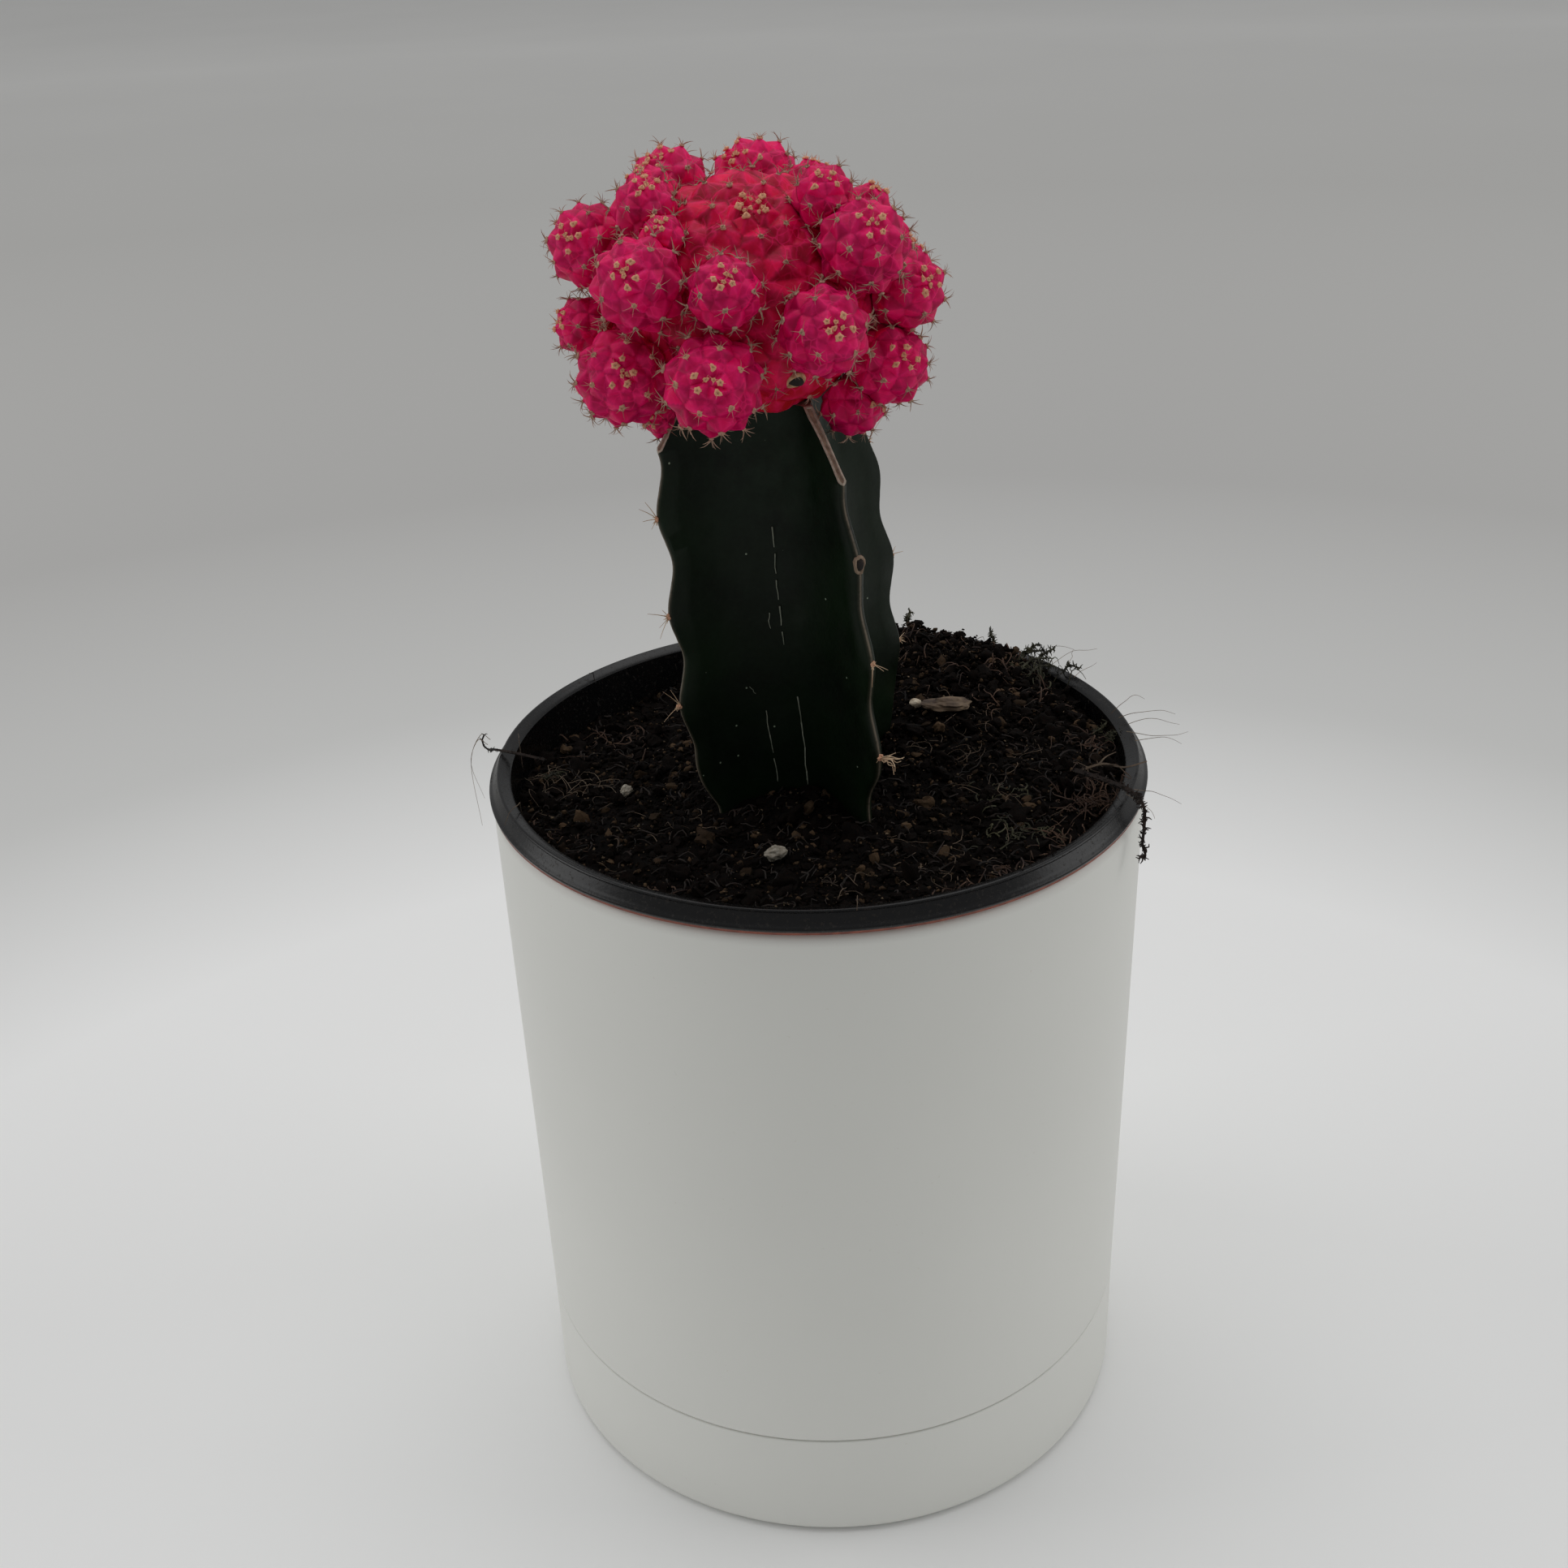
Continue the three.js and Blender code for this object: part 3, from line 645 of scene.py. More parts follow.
# A point on the stock for a column at full width, at a height.
def stockPoint(x, y, rib, height):
    reach = math.hypot(x, y)
    nearEdge = float(smoothStep(reach, stock["valleyReach"], rib["reach"]))
    wave = math.cos(2 * math.pi * (height - rimTop - rib["shift"]) / stock["scallopPitch"])
    crest = wave if wave > 0 else -abs(wave) ** 1.2   # notches a little narrower than the lobes
    scallop = stock["scallopDepth"] * crest * float(smoothStep(height, soilLevel - 2, soilLevel + 2))
    share = (ribReach(height, rib) + nearEdge * scallop) / rib["reach"]
    scale = math.sqrt(min(share, 1)) * (1 - nearEdge) + share * nearEdge
    leaned = stock["x"] + stock["lean"] * (height - rimTop)
    return x * scale + leaned, y * scale + stock["y"]


# Near the cut the ribs are thin fins, so that the cut shows as an even strip.
def thinned(x, y, rib, height):
    along, sideways = turned(x, y, -rib["turn"])
    limit = stock["finHalf"] + 0.9 * max(0, stock["finFrom"] - along)
    if abs(sideways) > limit:
        share = float(smoothStep(height, stockTop - stock["finsStart"], stockTop - stock["finsFull"]))
        wanted = math.copysign(limit, sideways)
        sideways += (wanted - sideways) * share
    return turned(along, sideways, rib["turn"])


# A grid wrapped round the outline, then welded, closed, cut at each rib and given cork strips.
def makeStock():
    columns = stockColumns()
    steps = int((stockTop - stockFoot) / stock["ringStep"])
    bpy.ops.object.select_all(action="DESELECT")
    bpy.ops.mesh.primitive_grid_add(x_subdivisions=len(columns), y_subdivisions=steps, size=1)
    piece = bpy.context.object
    piece.name = "rootstock_ribbed"
    across, along = len(columns) + 1, steps + 1
    points = np.zeros((across * along, 3))
    edge, cork, bloom = np.zeros((3, across * along))
    for row in range(along):
        height = stockFoot + (stockTop - stockFoot) * row / steps
        for column in range(across):
            x, y, index, nearEdge = columns[column % len(columns)]
            rib = stock["ribs"][index]
            x, y = thinned(x, y, rib, height)
            px, py = stockPoint(x, y, rib, height)
            spot = row * across + column
            wobble = noise.noise(Vector((px * 0.13, py * 0.13, height * 0.07))) * 0.45
            points[spot] = (px * (1 + wobble * 0.012), py * (1 + wobble * 0.012), height)
            worn = 0.5 + 0.5 * noise.noise(Vector((index * 9.1, 4.2, height * 0.22)))
            edge[spot] = nearEdge * (0.45 + 0.55 * worn)
            foot = 1 - float(smoothStep(height, rimTop + 2, rimTop + 13))
            reach = math.hypot(x, y) / rib["reach"]
            if index == stock["corkedRib"]:
                cork[spot] = foot * min(nearEdge * 2, 0.8)
            bloom[spot] = float(smoothStep(height, rimTop + 30, stockTop - 8)) * (1 - reach) * 1.2
    writePoints(piece, points)
    for name, values in (("cork", np.maximum(edge, cork)), ("bloom", np.clip(bloom, 0, 1))):
        giveValues(piece.data, name, values)
    for material in ("stock", "cork", "corkEdge"):
        piece.data.materials.append(materials[material])
    pickOnly(piece)
    bpy.ops.object.mode_set(mode="EDIT")
    bpy.ops.mesh.select_all(action="SELECT")
    bpy.ops.mesh.remove_doubles(threshold=0.00002)
    bpy.ops.mesh.select_all(action="DESELECT")
    bpy.ops.mesh.select_non_manifold()
    bpy.ops.mesh.fill_holes(sides=0)
    bpy.ops.mesh.select_all(action="SELECT")
    bpy.ops.mesh.normals_make_consistent(inside=False)
    topX = stock["x"] + stock["lean"] * (stockTop - rimTop)
    cuts = []
    for rib in stock["ribs"]:
        start, run, drop = rib["cut"]
        outward = Vector(heading(rib["turn"], 0))
        normal = (outward * drop + Vector((0, 0, run))).normalized()
        spot = Vector((topX, stock["y"], stockTop)) + outward * start
        bpy.ops.mesh.select_all(action="SELECT")
        bpy.ops.mesh.bisect(plane_co=spot * mm, plane_no=normal, use_fill=True, clear_outer=True)
        cuts.append((spot, normal))
    bpy.ops.object.mode_set(mode="OBJECT")
    for face in piece.data.polygons:
        face.select = False
        for spot, normal in cuts:
            flush = abs((face.center / mm - spot).dot(normal)) < 0.02
            if flush and face.normal.dot(normal) > 0.98:
                face.select = True
                face.material_index = 2
        if face.center.z / mm > stockTop - 0.02:
            face.material_index = 1
    bpy.ops.object.mode_set(mode="EDIT")
    bpy.ops.mesh.select_mode(type="FACE")
    bpy.ops.mesh.inset(thickness=stock["cutBorder"] * mm, depth=stock["cutRaise"] * mm)
    bpy.ops.mesh.inset(thickness=0.12 * mm, depth=-0.22 * mm)
    bpy.ops.object.mode_set(mode="OBJECT")
    for face in piece.data.polygons:
        if face.select:
            face.material_index = 1
    shadeByAngle(piece, 50)
    fit(piece, "stock_green", "rootstock")


makeStock()
print("stock lofted and cut")


# The globe that a node's solid was cut from: a sphere fitted to its outermost points, round by round.
def fitGlobe(node):
    points = np.unique(np.round(arraysOf(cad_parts[node])[0], 4), axis=0)
    kept = points
    for slack in (2, 1, 0.5, 0.25, 0.12, 0.06, 0.04, 0.03, 0.03, 0.03):
        system = np.c_[2 * kept, np.ones(len(kept))]
        answer = np.linalg.lstsq(system, (kept ** 2).sum(1), rcond=None)[0]
        centre = answer[:3]
        radius = math.sqrt(max(answer[3] + centre @ centre, 0))
        reach = np.linalg.norm(points - centre, axis=1)
        near = reach > radius - slack
        if near.sum() > 12:
            kept = points[near]
    return centre, radius


offsetNodes = sorted(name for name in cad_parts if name.startswith("scion_offset_"))
offsetGlobes = [fitGlobe(node) for node in offsetNodes]
mother = {
    "x": -8.6, "y": -3.0, "radius": 21.0, "halfHeight": 19.3,
    "seatCut": 2.7,      # how much of it is cut off to sit on the stock
    "seam": 0.3,
    "sunk": 0.65, "wart": 1.25,               # of the valleys, and a wart's height over them
    "columns": 12, "waves": 10, "waveDepth": 0.3,
}
motherMiddle = stockTop + mother["seam"] - mother["seatCut"] + mother["halfHeight"]
motherCentre = np.array([mother["x"], mother["y"], motherMiddle])
print("offsets measured:", len(offsetGlobes))

tubercle = {
    "tip": 1.085,          # reach of a tubercle's tip, over the globe's radius
    "valley": 0.935,
    "firstRow": 1.9,       # from the apex to the first ring of areoles, along the skin
    "secondRow": 3.2,      # and on to the next ring
    "rowStep": 4.0,
    "spacing": 4.8,        # between areoles round a ring
    "ridgeSoftness": 0.07,
}

# Growth axis of each offset that faces front, as azimuth and elevation.
growth = {
    1: (-114, 58), 2: (-135, 52), 4: (-85, 45), 6: (-76, 42), 7: (-71, 71), 8: (-49, 21), 9: (-72, 19),
    10: (-67, 22), 12: (-83, 39), 13: (-92, 20), 14: (-104, 27), 15: (-85, 19), 16: (-119, 24),
    17: (-79, 59), 18: (-98, 51), 19: (-152, 19),
}


# How far the mother's own oval reaches in a direction.
def motherReach(direction):
    level = np.hypot(direction[0], direction[1])
    return np.hypot(mother["radius"] * level, mother["halfHeight"] * direction[2])


# Directions of the areoles of a globe, in its own frame with the apex up: a close first ring of
# young ones, then rings that are further apart, each turned half a step from the last.
def areoleDirections(radius, firstCount, scale, jitter, chance, ribs=0):
    tips = []
    arc = tubercle["firstRow"] * scale
    count, twist = firstCount, chance.uniform(0, 6.28)
    while arc / radius < 2.8:
        polar = arc / radius
        first = len(tips) == 0
        wide, deep = (2.2, 1.0) if first else (1, 0.5)   # the first ring is less even
        for i in range(count):
            turn = twist + 2 * math.pi * (i + wide * chance.uniform(-jitter, jitter)) / count
            slant = polar + chance.uniform(-jitter, jitter) * deep * tubercle["rowStep"] / radius
            tips.append(polarWay(slant, turn))
        arc += (tubercle["secondRow"] if len(tips) == firstCount else tubercle["rowStep"]) * scale
        girth = 2 * math.pi * radius * math.sin(min(arc / radius, math.pi - 0.2))
        twist += math.pi / count
        count = max(firstCount if not ribs else 3, round(girth / (tubercle["spacing"] * scale)))
        if ribs:
            count = min(count, ribs)
    return np.array(tips)


# A frame whose third axis is this one, turned round it by a twist.
def axisFrame(axis, twist):
    axis = axis / np.linalg.norm(axis)
    side = np.cross(axis, (0.3, 0.2, 0.93) if abs(axis[2]) < 0.9 else (1, 0, 0))
    side /= np.linalg.norm(side)
    third = np.cross(axis, side)
    c, s = math.cos(twist), math.sin(twist)
    return np.array([c * side + s * third, -s * side + c * third, axis]).T


# How far each direction is from its areole towards the edge of the tubercle, 0 to 1,
# with the share that is on a ridge and a tone for each facet.
def tubercleField(directions, tips):
    near = directions @ tips.T
    own = np.argmax(near, axis=1)
    rows = np.arange(len(directions))
    apart = tips @ tips.T
    spread = 1 - apart[own]
    push = near - near[rows, own][:, None] - apart[own] + 1
    spread[rows, own] = 1
    push = push / spread
    push[rows, own] = -9
    order = np.argpartition(-push, 1, axis=1)[:, :2]
    first = push[rows, order[:, 0]]
    second = push[rows, order[:, 1]]
    swap = second > first
    first, second = np.where(swap, second, first), np.where(swap, first, second)
    facing = np.where(swap, order[:, 1], order[:, 0])
    soft = tubercle["ridgeSoftness"]
    blend = np.clip(soft - (first - second), 0, None) / soft
    edge = np.clip(first + blend ** 2 * soft / 4, 0, 1)
    ridge = np.exp(-((first - second) / 0.16) ** 2)
    facet = np.modf(np.abs(np.sin(own * 12.9898 + facing * 78.233) * 43758.5453))[0]   # scrambled
    return edge, ridge, facet


# Presses a globe flat where it meets its neighbours.
def pressFlat(points, centre, radius, neighbours):
    for other, otherRadius in neighbours:
        between = other - centre
        distance = np.linalg.norm(between)
        if distance > (radius + otherRadius) * 1.08:
            continue
        along = (distance ** 2 + radius ** 2 - otherRadius ** 2) / (2 * distance) - 0.08
        normal = between / distance
        reach = (points - centre) @ normal
        beyond = reach > along
        points[beyond] = centre + (points[beyond] - centre) * (along / reach[beyond])[:, None]
    return points


# A lobed areole pad with a dip in its middle.
def modelPad(lobes, start):
    points, corners = modelBall(2)
    level = np.hypot(points[:, 0], points[:, 1])
    turn = np.arctan2(points[:, 1], points[:, 0])
    lobe = 1 + (0.2 * np.cos(turn * lobes + start) + 0.12 * np.cos(turn * 2 + start * 3)) * level
    points[:, :2] *= lobe[:, None]
    points[:, 2] *= 0.62 * (1 + 0.25 * np.cos(turn * lobes + start) * level)
    points[:, 2] -= 0.34 * np.exp(-(level / 0.3) ** 2) * (points[:, 2] > 0)
    middle = np.exp(-(level / 0.28) ** 2) * (points[:, 2] > 0)
    return points, corners, middle


# A four-sided spine of unit length, grown in four steps that bend and narrow.
def modelSpine(bend):
    step = 0.25 * mm
    bpy.ops.object.select_all(action="DESELECT")
    bpy.ops.mesh.primitive_cone_add(vertices=4, radius1=0.06 * mm, radius2=0.045 * mm, depth=step,
                                    location=(0, 0, step / 2))
    spine = bpy.context.object
    bpy.ops.object.transform_apply(location=True)
    bpy.ops.object.mode_set(mode="EDIT")
    bpy.ops.mesh.select_mode(type="FACE")
    bpy.ops.mesh.select_all(action="DESELECT")
    bpy.ops.object.mode_set(mode="OBJECT")
    for face in spine.data.polygons:
        face.select = face.center.z > step * 0.96
    bpy.ops.object.mode_set(mode="EDIT")
    for i, narrow in enumerate((0.75, 0.75, 0.25)):
        drift = bend * (i + 1) ** 2 * 0.02
        bpy.ops.mesh.extrude_region_move(TRANSFORM_OT_translate={"value": (drift * mm, 0, step)})
        bpy.ops.transform.resize(value=(narrow, narrow, narrow))
    bpy.ops.object.mode_set(mode="OBJECT")
    points, corners = arraysOf(spine)
    bpy.data.objects.remove(spine)
    return points, corners


padShapes = [modelPad(lobes, start) for lobes, start in ((4, 0.3), (5, 1.1), (3, 2.0))]
spineShapes = [modelSpine(bend) for bend in (0.2, 0.6, 1.1)]

areole = {
    "youngPad": 0.58, "oldPad": 0.46,       # radius
    "youngSpine": 1.2, "oldSpine": 2.05,    # length
    "spineThickness": 1.05,
    "youngWithin": 0.62,                    # polar angle, over the apex, where the wool is still cream
}


# Pads and spines for the areoles at these points, each with a direction outwards and an age.
def areoleChunks(spots, outwards, ages, scale, chance, blocked):
    chunks = []
    for spot, outward, age in zip(spots, outwards, ages):
        turnFrame = axisFrame(outward, chance.uniform(0, 6.28))
        pad = areole["youngPad"] * (1 - age) + areole["oldPad"] * age
        size = pad * scale * chance.uniform(0.85, 1.15)
        padPoints, padCorners, padMiddle = padShapes[chance.randrange(len(padShapes))]
        shape = padPoints * size * np.array([1, chance.uniform(0.75, 1.1), chance.uniform(0.7, 1.0)])
        chunks.append({
            "points": spot + shape @ turnFrame.T, "corners": padCorners, "slot": 1,
            "values": {"age": age, "middle": padMiddle * (0.75 if age < 0.5 else 0.4)},
        })
        count = chance.choice((5, 6, 6, 7)) if age > 0.4 else chance.choice((2, 3, 4))
        base = chance.uniform(0, 6.28)
        for i in range(count):
            length = areole["youngSpine"] * (1 - age) + areole["oldSpine"] * age
            length *= chance.uniform(0.65, 1.15) * (0.75 + 0.25 * scale)
            tilt = chance.uniform(0.55, 1.15) if age > 0.4 else chance.uniform(0.3, 0.9)
            around = base + i * 6.283 / count + chance.uniform(-0.35, 0.35)
            direction = turnFrame @ polarWay(tilt, around)
            tip = spot + direction * length
            if blocked(tip):
                continue
            away = turnFrame @ np.array([math.cos(around), math.sin(around), 0])
            side = np.cross(direction, away)
            side /= np.linalg.norm(side)
            bendWay = np.cross(side, direction)
            spineFrame = np.array([bendWay, side, direction]).T
            points, corners = spineShapes[chance.randrange(len(spineShapes))]
            thick = areole["spineThickness"] * (0.8 + 0.2 * scale)
            grown = points * np.array([length, thick, length])
            chunks.append({
                "points": spot + grown @ spineFrame.T, "corners": corners, "slot": 2,
                "values": {"age": age},
            })
    return chunks


# The youngest pads, crowded at the apex without tubercles of their own.
def apexPads(centre, reach, turnFrame, count, spread, chance):
    spots, outwards = [], []
    for i in range(count):
        slant = spread * (0.25 + 0.75 * chance.random())
        turn = 6.283 * (i + chance.uniform(-0.3, 0.3)) / count
        way = turnFrame @ polarWay(slant, turn)
        spots.append(centre + way * reach)
        outwards.append(way)
    return areoleChunks(spots, outwards, [0.0] * count, 0.72, chance, lambda p: False)


# Whether a point is inside a globe other than the skipped one (-1 is the mother) or the stock's core.
def insideOther(point, skip, margin=0.0):
    for i, (centre, radius) in enumerate(offsetGlobes):
        if i != skip and np.linalg.norm(point - centre) < radius * 0.97 + margin:
            return True
    if skip != -1:
        way = point - motherCentre
        distance = np.linalg.norm(way)
        if distance < motherReach(way / distance) * 0.97 + margin:
            return True
    leaned = stock["x"] + stock["lean"] * (point[2] - rimTop)
    return point[2] < stockTop and math.hypot(point[0] - leaned, point[1] - stock["y"]) < 10


# The areoles that aren't hidden, from their tips: where each sits, faces, and how old it is. Old ones
# start at the polar angles given.
def openAreoles(tips, turnFrame, seatOf, hidden, old):
    spots, outwards, ages = [], [], []
    for tip in tips:
        way = turnFrame @ tip
        spot = seatOf(way)
        polar = math.acos(max(-1, min(1, tip[2])))
        if not hidden(spot, polar):
            spots.append(spot)
            outwards.append(way)
            ages.append(float(smoothStep(polar, *old)))
    return spots, outwards, ages


# An offset: a ball drawn out into warts, pressed flat by its neighbours, with its areoles.
def makeOffset(index):
    centre, radius = offsetGlobes[index]
    chance = random.Random(100 + index)
    outward = centre - motherCentre
    outward /= np.linalg.norm(outward)
    if index + 1 in growth:
        axis = heading(*growth[index + 1])
    else:
        axis = outward + heading(-85, 50) * 0.35 + np.array([0, 0, 0.6])
    turnFrame = axisFrame(axis, chance.uniform(0, 6.28))
    directions, corners = modelBall(6 if radius > 4.6 else 5)
    directions /= np.linalg.norm(directions, axis=1)[:, None]
    scale = 0.7 + 0.3 * min(radius / 7, 1)   # small offsets have smaller areoles, closer together
    tips = areoleDirections(radius, 5 if radius > 5 else 4, scale, 0.13, chance)
    edge, ridge, facet = tubercleField(directions, tips)
    lumps = np.array([noise.noise(Vector(d * 2.3 + index)) for d in directions]) * 0.02
    rise = (1 - edge) ** 0.9
    nub = np.exp(-(edge / 0.22) ** 2) * 0.022
    reach = radius * (tubercle["valley"] + (tubercle["tip"] - tubercle["valley"]) * rise + lumps + nub)
    points = centre + (directions @ turnFrame.T) * reach[:, None]
    neighbours = [g for i, g in enumerate(offsetGlobes) if i != index]
    neighbours.append((motherCentre, motherReach(outward)))
    points = pressFlat(points, centre, radius, neighbours)
    values = {
        # ridge also carries a painted highlight: its last term makes the skin paler towards the apex
        "ridge": ridge * smoothStep(edge, 0.08, 0.3) * (1 - smoothStep(edge, 0.8, 1.0)) * 0.4
        + (1 - smoothStep(edge, 0.05, 0.45)) * 0.3 + smoothStep(directions[:, 2], 0.6, 1.0) * 0.4,
        # painted shade: the grooves between warts are darkened
        "groove": smoothStep(edge, 0.9, 1.0) * 0.2,
        "facet": facet,
        "low": chance.uniform(0, 0.3),   # some offsets are a deeper red
    }
    chunks = [{"points": points, "corners": corners, "slot": 0, "values": values}]
    areoles = openAreoles(
        tips, turnFrame, lambda way: centre + way * radius * (tubercle["tip"] + 0.015),
        lambda spot, polar: polar > 2.3 or insideOther(spot, index, 0.1),
        (areole["youngWithin"] - 0.12, areole["youngWithin"] + 0.2))
    chunks += areoleChunks(*areoles, scale, chance, lambda p: insideOther(p, index))
    apex = centre + turnFrame[:, 2] * radius
    if not insideOther(apex, index, 0.4):
        chunks += apexPads(centre, radius, turnFrame, chance.choice((2, 3, 3)), 0.95 / radius, chance)
    piece = pieceFromChunks(f"offset_globe_{index + 1:02d}", chunks,
                            [materials[name] for name in ("offset", "wool", "spine")])
    shadeByAngle(piece, 60)
    fit(piece, "scion_pink", offsetNodes[index])


# The mother: an oval with lower warts in loose columns, sitting flat on the stock.
def makeMother():
    chance = random.Random(5)
    directions, corners = modelBall(7)
    directions /= np.linalg.norm(directions, axis=1)[:, None]
    turnFrame = axisFrame(heading(-85, 54), 0.25)
    tips = areoleDirections(mother["radius"], 5, 1.25, 0.09, chance, ribs=mother["columns"])
    edge, ridge, facet = tubercleField(directions, tips)
    world = directions @ turnFrame.T
    shape = motherReach(world.T)
    lumps = np.array([noise.noise(Vector(d * 3.1)) for d in directions]) * 0.3
    rise = (1 - edge) ** 0.8
    turn = np.arctan2(directions[:, 1], directions[:, 0])
    level = np.hypot(directions[:, 0], directions[:, 1])
    ribWave = np.cos(turn * mother["waves"]) * mother["waveDepth"] * smoothStep(level, 0.15, 0.6)
    reach = shape - mother["sunk"] + mother["wart"] * rise + lumps + ribWave
    points = motherCentre + world * reach[:, None]
    floor = stockTop + 0.05
    low = points[:, 2] < floor
    share = (floor - motherCentre[2]) / (points[low, 2] - motherCentre[2])
    points[low] = motherCentre + (points[low] - motherCentre) * share[:, None]
    for centre, radius in offsetGlobes:
        way = centre - motherCentre
        way /= np.linalg.norm(way)
        points = pressFlat(points, motherCentre, motherReach(way), [(centre, radius)])
    values = {
        "ridge": ridge * smoothStep(edge, 0.08, 0.3) * (1 - smoothStep(edge, 0.85, 1.0)) * 0.4
        + (1 - smoothStep(edge, 0.03, 0.2)) * 0.35,
        # painted shade: the grooves between warts are darkened
        "groove": smoothStep(edge, 0.9, 1.0) * 0.25,
        "facet": facet,
        "low": (1 - smoothStep(points[:, 2], stockTop + 1, stockTop + 9)) * 0.85,
    }
    chunks = [{"points": points, "corners": corners, "slot": 0, "values": values}]
    areoles = openAreoles(
        tips, turnFrame, lambda way: motherCentre + way * (motherReach(way) + 0.75),
        lambda spot, polar: spot[2] < stockTop + 1 or insideOther(spot, -1, 0.1), (0.22, 0.34))
    chunks += areoleChunks(*areoles, 1.05, chance, lambda p: insideOther(p, -1))
    apex = motherReach(turnFrame[:, 2]) + 0.4
    chunks += apexPads(motherCentre, apex, turnFrame, 8, 2.1 / mother["radius"], chance)
    piece = pieceFromChunks("scion_mother_globe", chunks,
                            [materials[name] for name in ("mother", "wool", "spine")])
    shadeByAngle(piece, 60)
    fit(piece, "scion_red", "scion_mother")


makeMother()
for index in range(len(offsetNodes)):
    makeOffset(index)
print("globes grown:", len(offsetNodes) + 1)


bits = {   # place, half sizes, turn, material, slot, roughness of its shape
    "perlite_grain_front": ((-7.8, -32), (1.9, 1.5, 1.3), 20, "perlite", "perlite", 0.3),
    "perlite_grain_left": ((-36, -3), (1.4, 1.2, 1.1), 70, "perlite", "perlite", 0.3),
    "bark_chip": ((25.5, 18.5), (4.5, 2.3, 1.0), -8, "bark", "bark", 0.28),
    "pebble": ((19.8, 20.5), (1.2, 1.0, 0.9), 0, "stone", "perlite", 0.12),
}


# A rough lump of unit size, modelled from a sphere; fine sets how many faces it has.
def modelLump(fine, rough, seed):
    points, corners = modelBall(fine)
    for i, point in enumerate(points):
        spot = Vector(point) * 1.1 + Vector((seed * 7.3, seed, 0))
        points[i] = point * (1 + rough * noise.noise(spot) * 1.6 + rough * 0.5 * noise.noise(spot * 3.1))
    return points, corners


def makeBits():
    for seed, (node, (place, half, turn, material, slot, rough)) in enumerate(bits.items()):
        low, high = boxOf(node)
        points, corners = modelLump(5, rough, seed + 3)
        x, y, z = (points * half).T
        points = np.array([*turned(x, y, turn), z]).T + (*place, (low[2] + high[2]) / 2 - 0.3)
        piece = pieceFromChunks(node + "_rough", [{"points": points, "corners": corners}],
                                [materials[material]])
        shadeByAngle(piece, 70)
        fit(piece, slot, node)


crumbs = {
    "mouth": 56.0,
    # half is the range of half sizes, sides how finely each crumb is modelled
    "fine": {"count": 9000, "half": (0.25, 0.75), "sides": 1},
    "coarse": {"count": 2300, "half": (0.6, 1.45), "sides": 2},
    "clods": {"count": 260, "half": (1.0, 2.4), "sides": 3},
    "grit": {"count": 5200, "half": (0.16, 0.42), "sides": 1},
}


# Whether a spot on the soil is under the stock or within a margin of it.
def insideStock(x, y, margin):
    dx, dy = x - stock["x"], y - stock["y"]
    if math.hypot(dx, dy) < 7:
        return True
    for rib in stock["ribs"]:
        along, across = turned(dx, dy, -rib["turn"])
        if 0 < along < rib["reach"] * 0.84 + margin and abs(across) < 1.2 + margin + (20 - along) * 0.12:
            return True
    return False


# A frame turned at random.
def randomTurn(chance):
    axis = np.array([chance.gauss(0, 1) for i in range(3)])
    return axisFrame(axis + 1e-6, chance.uniform(0, 6.28))


# Crumbs strewn over the soil, thicker on its heap at the back right.
def makeCrumbs(name, kind, seed, material):
    chance = random.Random(seed)
    low, high = kind["half"]
    shapes = [modelLump(kind["sides"], 0.45, seed + i) for i in range(7)]
    chunks = []
    while len(chunks) < kind["count"]:
        turn, reach = chance.uniform(0, 6.283), math.sqrt(chance.random()) * crumbs["mouth"]
        x, y = reach * math.cos(turn), reach * math.sin(turn)
        heap = math.exp(-((x - 30) ** 2 + (y - 38) ** 2) / 600)
        if chance.random() > 0.55 + 0.45 * heap + 0.15 * noise.noise(Vector((x * 0.1, y * 0.1, 1))):
            continue
        size = low + (high - low) * chance.random() ** 2.2
        if insideStock(x, y, size * 0.3):
            continue
        points, corners = shapes[chance.randrange(len(shapes))]
        shape = points * size * np.array([1, chance.uniform(0.55, 0.95), chance.uniform(0.3, 0.75)])
        tilt = randomTurn(chance) if chance.random() < 0.45 else axisFrame(
            np.array([chance.gauss(0, 0.35), chance.gauss(0, 0.35), 1]), chance.uniform(0, 6.28))
        z = float(soilHeight(x, y)) + lumpHeight(x, y) - soil["sunk"] + size * chance.uniform(-0.1, 0.45)
        z += 0.6 * chance.random() if kind["half"][1] < 0.5 else 0
        z += heap * chance.random() ** 2 * 1.6
        tone = chance.random() ** (2.8 if size < 0.9 else 7)
        chunks.append({"points": shape @ tilt.T + np.array([x, y, z]), "corners": corners,
                       "values": {"tone": tone}})
    piece = pieceFromChunks(name, chunks, [materials[material]])
    if kind["sides"] > 1:
        shadeByAngle(piece, 45)
    fit(piece, "peat")


makeBits()
makeCrumbs("peat_crumbs_fine", crumbs["fine"], 21, "crumb")
makeCrumbs("peat_crumbs_coarse", crumbs["coarse"], 31, "crumb")
makeCrumbs("peat_clods", crumbs["clods"], 51, "crumb")
makeCrumbs("peat_grit", crumbs["grit"], 41, "grit")
print("soil strewn")


